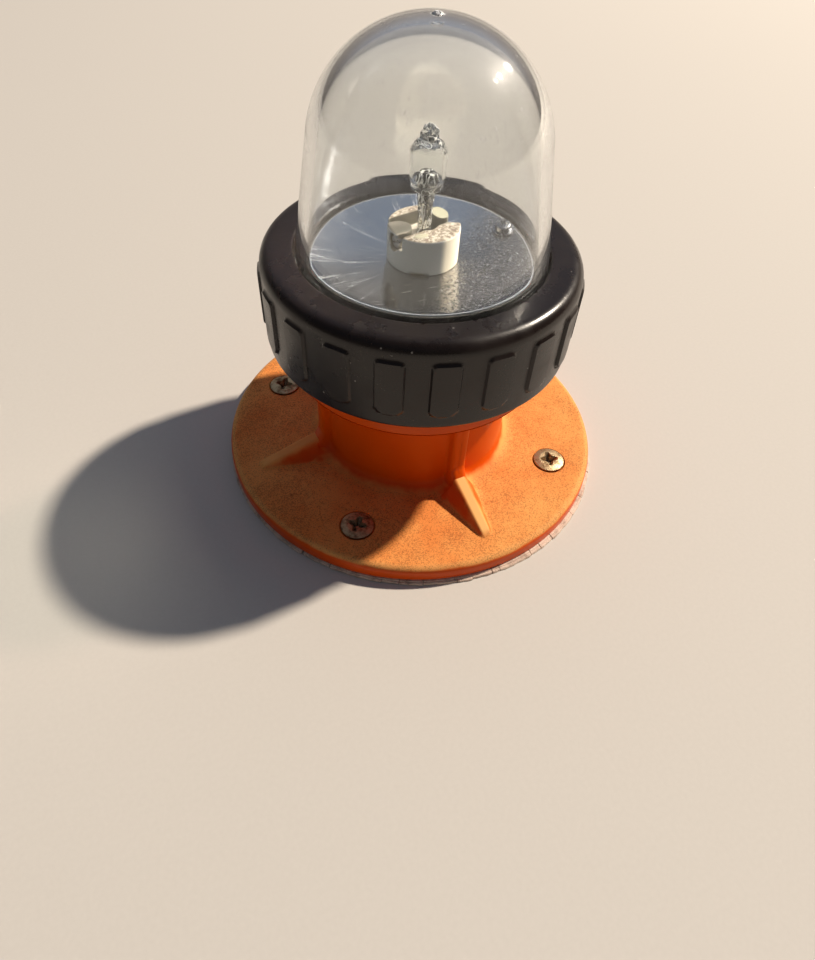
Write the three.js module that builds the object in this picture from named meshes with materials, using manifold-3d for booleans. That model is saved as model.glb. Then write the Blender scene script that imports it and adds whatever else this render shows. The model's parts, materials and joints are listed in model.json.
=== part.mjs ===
// A lifeboat's canopy light: a round orange base with four ribs, a black screw ring,
// a clear dome and a small halogen lamp in a ceramic holder on a polished plate.
// Millimetres, +Z up. The origin is at the centre of the underside, which lies on the
// canopy. The ribs point along X and Y, and the flange screws lie between them.

import * as THREE from 'three';
import { mergeVertices } from 'three/addons/utils/BufferGeometryUtils.js';
import Module from 'manifold-3d';

const wasm = await Module();
wasm.setup();

const AROUND = 64;
const AROUND_SMALL = 20;
const FIT = 0.3;

// Bedding seal under the flange
const SEAL_THICK = 1.2;
const SEAL_INNER_R = 31;
const SEAL_OUTER_R = 57;

// Base: flange, neck, cup under the ring, deck across it, collar under the plate
const FLANGE_R = 57.5;
const FLANGE_TOP = 6;
const FLANGE_EDGE_R = 2;
const NECK_R = 28.5;
const NECK_FILLET = 4.5;
const NECK_TOP = 28.5;
const WALL = 3;
const CUP_R = 36.5;
const COVE_R = CUP_R - NECK_R;
const CUP_RIM = 60.6;
const COLLAR_R = 28.4;
const COLLAR_WALL = 3.8;
const CABLE_HOLE_R = 5.5;

// Ribs on the flange and up the neck
const RIB_COUNT = 4;
const RIB_WIDTH = 5;
const RIB_ROUND = 1.8;
const RIB_ROOT_Z = 2;
const RIB_TIP_R = 50;
const RIB_TIP_Z = 6.9;
const RIB_KNEE_R = 32.3;
const RIB_KNEE_Z = 12.2;
const RIB_NECK_R = 30.8;

// Countersunk flange screws, one between each two ribs
const SCREW_CIRCLE_R = 45.5;
const SCREW_HEAD_R = 4.7;
const SCREW_SHANK_R = 2.4;
const SCREW_CONE = 2.3;
const SCREW_RIM = 0.35;
const SCREW_CROWN = 0.85;
const SCREW_CROWN_R = 3;
const RECESS_LONG = 5;
const RECESS_WIDE = 1.1;
const RECESS_DEEP = 1.9;

// Clamp ring with its grip pads, screwed down on the cup
const RING_R = 41.65;
const RING_BORE_R = 37.2;
const RING_BOTTOM = 44;
const RING_TOP = 69;
const RING_SHOULDER = 3.5;
const RING_LIP = 3.3;
const RING_HOLE_R = 32.8;
const PAD_COUNT = 20;
const PAD_PHASE = THREE.MathUtils.degToRad(-107.7);
const PAD_WIDTH = 7.3;
const PAD_BOTTOM = 48.1;
const PAD_TOP = 64.2;
const PAD_PROUD = 0.8;
const PAD_TOP_CORNER = 1.4;
const PAD_BOTTOM_CORNER = 2.6;

// Dome: straight foot, tapered wall, flattened crown with a gate mark on top
const DOME_SEAL_THICK = 1.6;
const FOOT_R = 35.8;
const FOOT_THICK = 2;
const DOME_R = 32.4;
const DOME_WALL = 2.8;
const CROWN_CENTRE = 93;
const CROWN_R = 28.3;
const CROWN_HIGH = 26.5;
const CROWN_START = THREE.MathUtils.degToRad(9.3);
const GATE_R = 1.9;
const GATE_HIGH = 0.5;
const WASHER_THICK = 0.6;

// Reflector: a shallow dish, flat under the lamp holder, and the screw at its edge
const PLATE_R = 28.6;
const PLATE_THICK = 0.9;
const PLATE_TOP = 66;
const PLATE_FLAT_R = 9.8;
const PLATE_BOWL_R = 150;
const PLATE_SCREW_CIRCLE_R = 25.4;
const PLATE_SCREW_ANGLE = THREE.MathUtils.degToRad(2.4);
const PLATE_SCREW_R = 1.5;
const PLATE_SCREW_HEAD_R = 2.4;
const PLATE_SCREW_HEAD = 1.5;
const PLATE_SCREW_DEEP = 4.5;
const PLATE_WASHER_R = 3.2;
const PLATE_WASHER_THICK = 0.5;
const PLATE_WASHER_GAP = 0.1;

// Ceramic lamp holder: a slot from side to side, in it a tongue on the left with a
// terminal screw in its end, a post on the right and a round well for the lamp's foot
const HOLDER_R = 9.2;
const HOLDER_TOP = 75.2;
const SLOT_FLOOR = 71.6;
const SLOT_OUTLINE = [[-10.5, -4.9], [5.8, -1.6], [10.5, -3.7], [10.5, 7.7], [-10.5, 4.7]];
const TONGUE_HALF = 3.2;
const TONGUE_Y = 0.35;
const TONGUE_END = -3.5;
const POST_X = 5.3;
const POST_Y = 2;
const POST_HALF_X = 2;
const POST_HALF_Y = 3;
const POST_TOP = 76;
const WELL_R = 3.5;
const TERMINAL_ANGLE = THREE.MathUtils.degToRad(-171.5);
const TERMINAL_Z = 72.6;
const TERMINAL_R = 1.9;
const TERMINAL_SHANK_R = 1.1;
const TERMINAL_END = 3.8;
const TERMINAL_SEAT = 5;
const TERMINAL_HEAD = 2.1;

// Halogen lamp: capsule with a drawn tip, pinched foot and two pins
const LAMP_R = 4.4;
const LAMP_WALL = 0.7;
const LAMP_NECK_R = 2.1;
const LAMP_NECK_Z = 81.2;
const LAMP_WAIST_Z = 85.6;
const LAMP_CAVITY_TOP = 92;
const LAMP_TIP_R = 1.8;
const LAMP_TIP_ROUND = 1.6;
const LAMP_TIP_TALL = 3;
const LAMP_TIP_Z = 98.4;
const LAMP_TURN = THREE.MathUtils.degToRad(-118);
const PINCH_WIDE = 5.4;
const PINCH_THICK = 3.4;
const PINCH_BOTTOM = SLOT_FLOOR + FIT;
const PIN_R = 0.5;
const PIN_SPACING = 4;
const PIN_BOTTOM = 66.8;
const FILAMENT_Z = 87;

const orange = new THREE.MeshStandardMaterial({ color: '#d9784a', roughness: 0.6, metalness: 0 });
const black = new THREE.MeshStandardMaterial({ color: '#17171a', roughness: 0.35, metalness: 0 });
const rubber = new THREE.MeshStandardMaterial({ color: '#1f1e1d', roughness: 0.8, metalness: 0 });
const sealant = new THREE.MeshStandardMaterial({ color: '#b9b3a6', roughness: 0.9, metalness: 0 });
const steel = new THREE.MeshStandardMaterial({ color: '#a5a29c', roughness: 0.4, metalness: 1 });
const mirror = new THREE.MeshStandardMaterial({ color: '#d8d6d0', roughness: 0.15, metalness: 1 });
const ceramic = new THREE.MeshStandardMaterial({ color: '#e6dfcf', roughness: 0.5, metalness: 0 });
const acetal = new THREE.MeshStandardMaterial({ color: '#1c1c1d', roughness: 0.5, metalness: 0 });
const tungsten = new THREE.MeshStandardMaterial({ color: '#6d6a66', roughness: 0.5, metalness: 1 });
const clear = new THREE.MeshStandardMaterial({ color: '#eef2f2', roughness: 0.05, transparent: true, opacity: 0.3 });

// Points of a round stretch of an outline, both ends included
function arc(centreR, centreZ, radiusR, radiusZ, from, to, steps) {
  return Array.from({ length: steps + 1 }, (_, i) => {
    const angle = THREE.MathUtils.degToRad(from + ((to - from) * i) / steps);
    return [centreR + radiusR * Math.cos(angle), centreZ + radiusZ * Math.sin(angle)];
  });
}

// A turned body from [radius, height] points, given anticlockwise in section
function turned(points, segments = AROUND) {
  const outline = points.map(([r, z]) => new THREE.Vector2(Math.max(r, 0), z));
  return new THREE.LatheGeometry(outline, segments).rotateX(Math.PI / 2);
}

// A turned ring: its section closes on itself
function turnedRing(points, segments = AROUND) {
  return turned([...points, points[0]], segments);
}

function flatRing(innerR, outerR, bottom, top, segments = AROUND) {
  return turnedRing([[innerR, bottom], [outerR, bottom], [outerR, top], [innerR, top]], segments);
}

function rod(radius, bottom, top, segments = AROUND_SMALL) {
  return turned([[0, bottom], [radius, bottom], [radius, top], [0, top]], segments);
}

function block(xs, ys, zs) {
  const geometry = new THREE.BoxGeometry(xs[1] - xs[0], ys[1] - ys[0], zs[1] - zs[0]);
  return geometry.translate((xs[0] + xs[1]) / 2, (ys[0] + ys[1]) / 2, (zs[0] + zs[1]) / 2);
}

function asSolid(geometry) {
  const bare = geometry.clone();
  bare.deleteAttribute('normal');
  bare.deleteAttribute('uv');
  const merged = mergeVertices(bare, 1e-4);
  return new wasm.Manifold(
    new wasm.Mesh({
      numProp: 3,
      vertProperties: merged.getAttribute('position').array,
      triVerts: new Uint32Array(merged.index.array),
    })
  );
}

function asGeometry(solid) {
  const { vertProperties, triVerts } = solid.getMesh();
  const geometry = new THREE.BufferGeometry();
  geometry.setAttribute('position', new THREE.BufferAttribute(vertProperties, 3));
  geometry.setIndex(new THREE.BufferAttribute(triVerts, 1));
  geometry.computeVertexNormals();
  return geometry;
}

function join(...geometries) {
  return asGeometry(geometries.map(asSolid).reduce((a, b) => a.add(b)));
}

function cut(geometry, ...tools) {
  return asGeometry(tools.map(asSolid).reduce((a, b) => a.subtract(b), asSolid(geometry)));
}

function named(name, geometry, material) {
  const mesh = new THREE.Mesh(geometry, material);
  mesh.name = name;
  return mesh;
}

function at(geometry, radius, angle) {
  return geometry.translate(radius, 0, 0).rotateZ(angle);
}

const screwAngles = Array.from({ length: RIB_COUNT }, (_, i) => ((i + 0.5) * 2 * Math.PI) / RIB_COUNT);
const ribAngles = Array.from({ length: RIB_COUNT }, (_, i) => (i * 2 * Math.PI) / RIB_COUNT);

// Height of the reflector's polished side at a distance from the axis
function plateHeight(radius) {
  return PLATE_TOP + Math.max(0, radius ** 2 - PLATE_FLAT_R ** 2) / (2 * PLATE_BOWL_R);
}

// Moves a solid that was built at the origin onto the reflector, square to its slope there
function onPlate(geometry) {
  const slope = Math.atan(PLATE_SCREW_CIRCLE_R / PLATE_BOWL_R);
  return geometry
    .rotateY(-slope)
    .translate(PLATE_SCREW_CIRCLE_R, 0, plateHeight(PLATE_SCREW_CIRCLE_R))
    .rotateZ(PLATE_SCREW_ANGLE);
}

// Sealant bed, with a hole round each screw
function beddingSeal() {
  const holes = screwAngles.map((a) =>
    at(rod(SCREW_SHANK_R + FIT, -1, SEAL_THICK + 1), SCREW_CIRCLE_R, a)
  );
  return cut(flatRing(SEAL_INNER_R, SEAL_OUTER_R, 0, SEAL_THICK), ...holes);
}

// Section of the base moulding: a bell on a flange, closed by a deck under the plate
function baseSection() {
  const bore = NECK_R - WALL;
  const cupBore = CUP_R - WALL;
  const deckUnder = CUP_RIM - WALL;
  const collarBore = COLLAR_R - COLLAR_WALL;
  const underPlate = PLATE_THICK + FIT;
  return [
    [bore, SEAL_THICK],
    [FLANGE_R - FIT, SEAL_THICK],
    [FLANGE_R, SEAL_THICK + FIT],
    ...arc(FLANGE_R - FLANGE_EDGE_R, FLANGE_TOP - FLANGE_EDGE_R, FLANGE_EDGE_R, FLANGE_EDGE_R, 0, 90, 4),
    ...arc(NECK_R + NECK_FILLET, FLANGE_TOP + NECK_FILLET, NECK_FILLET, NECK_FILLET, 270, 180, 4),
    ...arc(CUP_R, NECK_TOP, COVE_R, COVE_R, 180, 90, 5),
    [CUP_R, CUP_RIM],
    [COLLAR_R, CUP_RIM],
    [COLLAR_R, plateHeight(COLLAR_R) - underPlate],
    [collarBore, plateHeight(collarBore) - underPlate],
    [collarBore, CUP_RIM],
    [CABLE_HOLE_R, CUP_RIM],
    [CABLE_HOLE_R, deckUnder],
    [cupBore, deckUnder],
    [cupBore, NECK_TOP + COVE_R + WALL + 1],
    [bore, NECK_TOP + WALL],
  ];
}

// One rib: a low gusset on the flange that turns up the neck and ends in the cove
function rib() {
  const side = new THREE.Shape();
  side.moveTo(NECK_R - RIB_ROUND, RIB_ROOT_Z);
  side.lineTo(RIB_TIP_R, RIB_ROOT_Z);
  side.lineTo(RIB_TIP_R, RIB_TIP_Z);
  side.lineTo(RIB_KNEE_R, RIB_KNEE_Z);
  side.lineTo(RIB_NECK_R, RIB_KNEE_Z + 2.5);
  side.lineTo(RIB_NECK_R, NECK_TOP + COVE_R / 2);
  side.lineTo(NECK_R - RIB_ROUND, NECK_TOP + COVE_R / 2);
  side.closePath();
  const geometry = new THREE.ExtrudeGeometry(side, {
    depth: RIB_WIDTH - 2 * RIB_ROUND,
    bevelThickness: RIB_ROUND,
    bevelSize: RIB_ROUND,
    bevelOffset: -RIB_ROUND,
    bevelSegments: 3,
  });
  return geometry.translate(0, 0, RIB_ROUND - RIB_WIDTH / 2).rotateX(Math.PI / 2);
}

// Seat of a countersunk screw, a fit wider than the screw all round
function countersink() {
  const head = SCREW_HEAD_R + FIT;
  const shank = SCREW_SHANK_R + FIT;
  return turned([
    [0, 0],
    [shank, 0],
    [shank, FLANGE_TOP - SCREW_CONE - FIT],
    [head, FLANGE_TOP - FIT],
    [head, FLANGE_TOP + 1],
    [0, FLANGE_TOP + 1],
  ], AROUND_SMALL);
}

function baseHousing() {
  const body = join(turnedRing(baseSection()), ...ribAngles.map((a) => rib().rotateZ(a)));
  const screwSeats = screwAngles.map((a) => at(countersink(), SCREW_CIRCLE_R, a));
  const pilot = onPlate(rod(PLATE_SCREW_R + FIT, -PLATE_SCREW_DEEP - 1, 1, 16));
  return cut(body, ...screwSeats, pilot);
}

// Raised countersunk screw with a cross recess, its point left off at the underside
function flangeScrew(angle) {
  const top = FLANGE_TOP + SCREW_CROWN;
  const screw = turned([
    [0, FIT],
    [SCREW_SHANK_R, FIT],
    [SCREW_SHANK_R, FLANGE_TOP - SCREW_CONE],
    [SCREW_HEAD_R, FLANGE_TOP],
    [SCREW_HEAD_R, FLANGE_TOP + SCREW_RIM],
    [SCREW_CROWN_R, top],
    [0, top],
  ], AROUND_SMALL);
  const zs = [top - RECESS_DEEP, top + 1];
  const long = [-RECESS_LONG / 2, RECESS_LONG / 2];
  const wide = [-RECESS_WIDE / 2, RECESS_WIDE / 2];
  return at(cut(screw, block(long, wide, zs), block(wide, long, zs)), SCREW_CIRCLE_R, angle);
}

// One grip pad: a flat plate with round corners, bent round the ring
function gripPad(angle) {
  const half = PAD_WIDTH / 2;
  const top = PAD_TOP_CORNER;
  const low = PAD_BOTTOM_CORNER;
  const corners = [
    ...arc(half - low, PAD_BOTTOM + low, low, low, 270, 360, 3),
    ...arc(half - top, PAD_TOP - top, top, top, 0, 90, 2),
    [0, PAD_TOP],
    ...arc(top - half, PAD_TOP - top, top, top, 90, 180, 2),
    ...arc(low - half, PAD_BOTTOM + low, low, low, 180, 270, 3),
    [0, PAD_BOTTOM],
  ];
  const outline = new THREE.Shape(corners.map(([x, y]) => new THREE.Vector2(x, y)));
  const flat = new THREE.ExtrudeGeometry(outline, { depth: PAD_PROUD + 1, bevelEnabled: false });
  const position = flat.getAttribute('position');
  for (let i = 0; i < position.count; i += 1) {
    const turn = angle + position.getX(i) / RING_R;
    const reach = RING_R - 1 + position.getZ(i);
    position.setXYZ(i, reach * Math.cos(turn), reach * Math.sin(turn), position.getY(i));
  }
  return flat;
}

function clampRing() {
  const shoulder = arc(RING_R - RING_SHOULDER, RING_TOP - RING_SHOULDER, RING_SHOULDER, RING_SHOULDER, 0, 90, 4);
  const body = turnedRing([
    [RING_BORE_R, RING_BOTTOM],
    [RING_R - 1, RING_BOTTOM],
    [RING_R, RING_BOTTOM + 1],
    ...shoulder,
    [RING_HOLE_R, RING_TOP],
    [RING_HOLE_R, RING_TOP - RING_LIP],
    [RING_BORE_R, RING_TOP - RING_LIP],
  ]);
  const pads = Array.from({ length: PAD_COUNT }, (_, i) =>
    gripPad(PAD_PHASE + (i * 2 * Math.PI) / PAD_COUNT)
  );
  return join(body, ...pads);
}

const DOME_BOTTOM = CUP_RIM + DOME_SEAL_THICK + FIT;
const FOOT_TOP = DOME_BOTTOM + FOOT_THICK;
const WASHER_BOTTOM = FOOT_TOP + FIT;

function domeSeal() {
  return flatRing(COLLAR_R + FIT, FOOT_R, CUP_RIM, CUP_RIM + DOME_SEAL_THICK);
}

function slipWasher() {
  return flatRing(RING_HOLE_R, FOOT_R, WASHER_BOTTOM, WASHER_BOTTOM + WASHER_THICK);
}

// Clear shell on a foot that the ring holds down
function dome() {
  const start = THREE.MathUtils.radToDeg(CROWN_START);
  const outerCrown = arc(0, CROWN_CENTRE, CROWN_R, CROWN_HIGH, start, 90, 9);
  const innerCrown = arc(0, CROWN_CENTRE, CROWN_R - DOME_WALL, CROWN_HIGH - DOME_WALL, 90, start, 7);
  outerCrown.pop();
  return turned([
    [DOME_R - DOME_WALL, DOME_BOTTOM],
    [FOOT_R, DOME_BOTTOM],
    [FOOT_R, FOOT_TOP],
    [DOME_R, FOOT_TOP],
    [DOME_R, RING_TOP],
    ...outerCrown,
    [GATE_R, CROWN_CENTRE + CROWN_HIGH],
    [GATE_R, CROWN_CENTRE + CROWN_HIGH + GATE_HIGH],
    [0, CROWN_CENTRE + CROWN_HIGH + GATE_HIGH],
  ].concat(innerCrown, [
    [DOME_R - DOME_WALL, RING_TOP],
    [DOME_R - DOME_WALL, DOME_BOTTOM],
  ]));
}

function reflectorPlate() {
  const radii = Array.from({ length: 6 }, (_, i) => PLATE_FLAT_R + ((PLATE_R - PLATE_FLAT_R) * i) / 5);
  const upper = radii.map((r) => [r, plateHeight(r)]);
  const lower = radii.map((r) => [r, plateHeight(r) - PLATE_THICK]);
  const dish = turned([[0, PLATE_TOP - PLATE_THICK], ...lower, ...upper.reverse(), [0, PLATE_TOP]]);
  return cut(dish, onPlate(rod(PLATE_SCREW_R + FIT, -2, 1, 16)));
}

function plateScrew() {
  const seat = PLATE_WASHER_GAP + PLATE_WASHER_THICK;
  return onPlate(turned([
    [0, -PLATE_SCREW_DEEP],
    [PLATE_SCREW_R, -PLATE_SCREW_DEEP],
    [PLATE_SCREW_R, seat],
    ...arc(0, seat, PLATE_SCREW_HEAD_R, PLATE_SCREW_HEAD, 0, 90, 4),
  ], 16));
}

function plateWasher() {
  const top = PLATE_WASHER_GAP + PLATE_WASHER_THICK;
  return onPlate(flatRing(PLATE_SCREW_R + FIT, PLATE_WASHER_R, PLATE_WASHER_GAP, top, 24));
}

// Flat solid of an outline of [x, y] points between two heights
function slab(points, bottom, top) {
  const outline = new THREE.Shape(points.map(([x, y]) => new THREE.Vector2(x, y)));
  const geometry = new THREE.ExtrudeGeometry(outline, { depth: top - bottom, bevelEnabled: false });
  return geometry.translate(0, 0, bottom);
}

// Lays a solid that was turned about Z along the terminal screw's radial axis
function alongTerminal(geometry) {
  return geometry.rotateY(Math.PI / 2).rotateZ(TERMINAL_ANGLE).translate(0, 0, TERMINAL_Z);
}

function lampHolder() {
  const past = HOLDER_R + 2;
  const middle = TONGUE_END - TONGUE_HALF;
  const tongue = slab([
    [-past, TONGUE_Y - TONGUE_HALF],
    ...arc(middle, TONGUE_Y, TONGUE_HALF, TONGUE_HALF, -90, 90, 8),
    [-past, TONGUE_Y + TONGUE_HALF],
  ], SLOT_FLOOR - 1, HOLDER_TOP + 2);
  const slot = cut(slab(SLOT_OUTLINE, SLOT_FLOOR, HOLDER_TOP + 1), tongue);
  const well = rod(WELL_R, SLOT_FLOOR, HOLDER_TOP + 1);
  const post = slab(
    arc(POST_X, POST_Y, POST_HALF_X, POST_HALF_Y, 0, 340, 17),
    SLOT_FLOOR - 1,
    POST_TOP
  );
  const pinHoles = [-1, 1].map((side) =>
    rod(PIN_R + FIT, PIN_BOTTOM - FIT, SLOT_FLOOR + 1, 12)
      .translate((side * PIN_SPACING) / 2, 0, 0)
      .rotateZ(LAMP_TURN)
  );
  const screwHole = alongTerminal(turned([
    [0, TERMINAL_END],
    [TERMINAL_SHANK_R + FIT, TERMINAL_END],
    [TERMINAL_SHANK_R + FIT, TERMINAL_SEAT],
    [TERMINAL_R + FIT, TERMINAL_SEAT],
    [TERMINAL_R + FIT, past],
    [0, past],
  ], 20));
  const body = cut(rod(HOLDER_R, PLATE_TOP, HOLDER_TOP, 40), slot, screwHole);
  return cut(join(body, post), well, ...pinHoles);
}

function holderTerminalScrew() {
  const end = TERMINAL_END + FIT;
  const seat = TERMINAL_SEAT + FIT;
  const top = seat + TERMINAL_HEAD;
  return alongTerminal(turned([
    [0, end],
    [TERMINAL_SHANK_R, end],
    [TERMINAL_SHANK_R, seat],
    [TERMINAL_R, seat],
    [TERMINAL_R, top],
    [0, top],
  ], 20));
}

// Quartz capsule with a tapered tip of solid glass, open where the pinched foot closes it
function lampCapsule() {
  const inner = LAMP_R - LAMP_WALL;
  return turned([
    [LAMP_NECK_R - LAMP_WALL, LAMP_NECK_Z],
    [LAMP_NECK_R, LAMP_NECK_Z],
    [LAMP_R - 0.5, LAMP_WAIST_Z - 1.5],
    [LAMP_R, LAMP_WAIST_Z],
    [LAMP_R, LAMP_CAVITY_TOP],
    [LAMP_R - 0.4, LAMP_CAVITY_TOP + 1.6],
    [LAMP_TIP_R + 0.6, LAMP_TIP_Z - LAMP_TIP_TALL],
    ...arc(0, LAMP_TIP_Z - LAMP_TIP_ROUND, LAMP_TIP_R, LAMP_TIP_ROUND, 0, 90, 4),
    [0, LAMP_CAVITY_TOP],
    [inner - 0.6, LAMP_CAVITY_TOP - 0.3],
    [inner, LAMP_CAVITY_TOP - 1.2],
    [inner, LAMP_WAIST_Z + 0.4],
    [inner - 0.5, LAMP_WAIST_Z - 1],
    [LAMP_NECK_R - LAMP_WALL, LAMP_NECK_Z],
  ], AROUND_SMALL);
}

function lampPinch() {
  const wide = [-PINCH_WIDE / 2, PINCH_WIDE / 2];
  const thick = [-PINCH_THICK / 2, PINCH_THICK / 2];
  return block(wide, thick, [PINCH_BOTTOM, LAMP_NECK_Z - FIT]).rotateZ(LAMP_TURN);
}

function lampPin(side) {
  return rod(PIN_R, PIN_BOTTOM, PINCH_BOTTOM, 12)
    .translate((side * PIN_SPACING) / 2, 0, 0)
    .rotateZ(LAMP_TURN);
}

// Coiled filament on two leads that come up out of the pinch
function lampFilament() {
  const half = 2;
  const lead = (side) => rod(0.25, LAMP_NECK_Z, FILAMENT_Z, 8).translate(side * 0.8, 0, 0);
  const coil = rod(0.7, -half, half, 12).rotateY(Math.PI / 2).translate(0, 0, FILAMENT_Z);
  return join(coil, lead(-1), lead(1)).rotateZ(LAMP_TURN);
}

// Rubber grommet in the deck's cable hole, with a lip on each side of the deck
function cableGrommet() {
  const under = CUP_RIM - WALL - FIT;
  const over = CUP_RIM + FIT;
  const lip = CABLE_HOLE_R + 1.8;
  const bore = 2.6;
  return turnedRing([
    [bore, under - 1.6],
    [lip - 0.6, under - 1.6],
    [lip, under - 1],
    [lip, under],
    [CABLE_HOLE_R - FIT, under],
    [CABLE_HOLE_R - FIT, over],
    [lip, over],
    [lip - 0.6, over + 1.4],
    [bore, over + 1.4],
  ], AROUND_SMALL);
}

const light = new THREE.Group();
light.add(
  named('bedding_seal', beddingSeal(), sealant),
  named('base_housing', baseHousing(), orange),
  named('clamp_ring', clampRing(), black),
  named('slip_washer', slipWasher(), acetal),
  named('dome_seal', domeSeal(), rubber),
  named('dome', dome(), clear),
  named('reflector_plate', reflectorPlate(), mirror),
  named('plate_screw', plateScrew(), steel),
  named('plate_washer', plateWasher(), steel),
  named('lamp_holder', lampHolder(), ceramic),
  named('holder_terminal_screw', holderTerminalScrew(), steel),
  named('lamp_capsule', lampCapsule(), clear),
  named('lamp_pinch', lampPinch(), clear),
  named('lamp_filament', lampFilament(), tungsten),
  named('cable_grommet', cableGrommet(), rubber)
);
screwAngles.forEach((angle, i) => {
  light.add(named(`flange_screw_${i + 1}`, flangeScrew(angle), steel));
});
[-1, 1].forEach((side, i) => {
  light.add(named(`lamp_pin_${i + 1}`, lampPin(side), steel));
});

export default light;
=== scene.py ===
import json
import math

import bmesh
import bpy
import numpy as np
from mathutils import Matrix, Vector

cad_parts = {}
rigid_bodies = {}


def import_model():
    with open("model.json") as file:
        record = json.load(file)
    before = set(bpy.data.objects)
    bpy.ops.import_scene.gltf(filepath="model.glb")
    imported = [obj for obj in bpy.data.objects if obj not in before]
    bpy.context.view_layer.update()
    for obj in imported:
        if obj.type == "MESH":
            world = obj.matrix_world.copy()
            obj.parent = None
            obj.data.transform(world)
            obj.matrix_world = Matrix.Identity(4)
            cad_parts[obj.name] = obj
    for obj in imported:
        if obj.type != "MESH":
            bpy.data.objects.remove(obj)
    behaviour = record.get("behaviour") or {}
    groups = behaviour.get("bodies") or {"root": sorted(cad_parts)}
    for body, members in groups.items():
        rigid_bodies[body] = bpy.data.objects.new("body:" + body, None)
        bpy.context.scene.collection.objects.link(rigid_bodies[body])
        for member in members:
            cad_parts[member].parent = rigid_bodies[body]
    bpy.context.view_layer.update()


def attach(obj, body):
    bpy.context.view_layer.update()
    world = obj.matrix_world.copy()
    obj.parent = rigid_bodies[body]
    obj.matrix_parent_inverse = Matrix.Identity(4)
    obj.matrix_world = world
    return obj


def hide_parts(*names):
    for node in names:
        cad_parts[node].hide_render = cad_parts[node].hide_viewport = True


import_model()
MM = 0.001


# Camera. A wide lens close above the light, looking steeply down, so the dome leans
# towards the lens and the flange is seen almost round.
PHOTO_WIDTH = 815
FOCAL_PIXELS = 687.6
SENSOR_MM = 36.0
CAMERA_AT = Vector((-75.2, -141.8, 162.3)) * MM
CAMERA_AIM = Vector((0.0, 0.0, -23.2)) * MM
CAMERA_ROLL = math.radians(-3.73)

lens_data = bpy.data.cameras.new("camera")
lens_data.sensor_fit = "HORIZONTAL"
lens_data.sensor_width = SENSOR_MM
lens_data.lens = SENSOR_MM * FOCAL_PIXELS / PHOTO_WIDTH
lens_data.clip_start = 0.01
camera = bpy.data.objects.new("camera", lens_data)
bpy.context.scene.collection.objects.link(camera)
looking = (CAMERA_AIM - CAMERA_AT).normalized()
facing = looking.to_track_quat("-Z", "Y").to_matrix()
rolled = Matrix.Rotation(CAMERA_ROLL, 3, looking) @ facing
camera.matrix_world = Matrix.Translation(CAMERA_AT) @ rolled.to_4x4()
bpy.context.scene.camera = camera


# Floor and light. A plain pale studio floor, one round key from the right, where the low
# sun stands in daylight, and a dim even sky as the fill.
def linear(hex_colour):
    """Linear RGBA of an sRGB hex colour."""
    parts = [int(hex_colour[i:i + 2], 16) / 255 for i in (1, 3, 5)]
    return [p / 12.92 if p <= 0.04045 else ((p + 0.055) / 1.055) ** 2.4 for p in parts] + [1.0]


def node(tree, kind, inputs=(), **settings):
    """Adds one shader node with its inputs by name, or as a list in the node's own order.

    An input is a plain value, a hex colour, a socket, or a node that gives its first output.
    """
    made = tree.nodes.new("ShaderNode" + kind)
    for name, value in settings.items():
        setattr(made, name, value)
    if isinstance(inputs, dict):
        fed = [(made.inputs[name], value) for name, value in inputs.items()]
    else:
        fed = zip([socket for socket in made.inputs if socket.enabled], inputs)
    for socket, value in fed:
        if isinstance(value, bpy.types.Node):
            value = next(giving for giving in value.outputs if giving.enabled)
        if isinstance(value, bpy.types.NodeSocket):
            tree.links.new(value, socket)
        else:
            socket.default_value = linear(value) if isinstance(value, str) else value
    return made


def new_material(name):
    """An empty node material, its tree, and the socket of a point's place on the object."""
    material = bpy.data.materials.new(name)
    material.use_nodes = True
    material.node_tree.nodes.clear()
    return material, material.node_tree, node(material.node_tree, "TexCoord").outputs["Object"]


def clouded(name, clouds, tints, finish, rough=None):
    """A material of two tints in clouds, which also set how rough it is where rough is given."""
    material, tree, spot = new_material(name)
    cloud = node(tree, "TexNoise", {"Vector": spot, **clouds})
    tint = node(tree, "Mix", [cloud, *tints], data_type="RGBA")
    if rough:
        finish["Roughness"] = node(tree, "MapRange", [cloud, 0.3, 0.7, *rough])
    node(tree, "OutputMaterial", [node(tree, "BsdfPrincipled", {"Base Color": tint, **finish})])
    return material


def add_object(name, data):
    made = bpy.data.objects.new(name, data)
    bpy.context.scene.collection.objects.link(made)
    return made


# Paper fibre of about a millimetre, only just darker than the sheet
floor_paper = clouded("pale_studio_paper", {"Scale": 900.0, "Detail": 3.0}, ("#c9c4bd", "#cfcac3"), {
    "Roughness": 0.9, "Specular IOR Level": 0.2,
})
FLOOR_HALF = 3.0
floor_mesh = bpy.data.meshes.new("studio_floor")
floor_corners = [(x * FLOOR_HALF, y * FLOOR_HALF, 0.0) for x, y in ((-1, -1), (1, -1), (1, 1), (-1, 1))]
floor_mesh.from_pydata(floor_corners, [], [(0, 1, 2, 3)])
floor_mesh.materials.append(floor_paper)
floor = add_object("studio_floor", floor_mesh)

KEY_FROM = Vector((0.725, 0.045, 0.688))
KEY_DISTANCE = 4.0
KEY_SIZE = 0.22
KEY_WATTS = 256
key_data = bpy.data.lights.new("key", "AREA")
key_data.shape = "DISK"
key_data.size = KEY_SIZE
key_data.energy = KEY_WATTS
key_data.color = linear("#fff1df")[:3]
key = add_object("key", key_data)
key.location = KEY_FROM.normalized() * KEY_DISTANCE
key.rotation_euler = key.location.to_track_quat("Z", "Y").to_euler()

SKY_DIM = 0.12
SKY_BRIGHT = 0.42
BRIGHT_WAY = Vector((0.33, 0.62, 0.71))
world = bpy.data.worlds.new("dim_sky")
bpy.context.scene.world = world
world.use_nodes = True
tree = world.node_tree
tree.nodes.clear()
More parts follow.
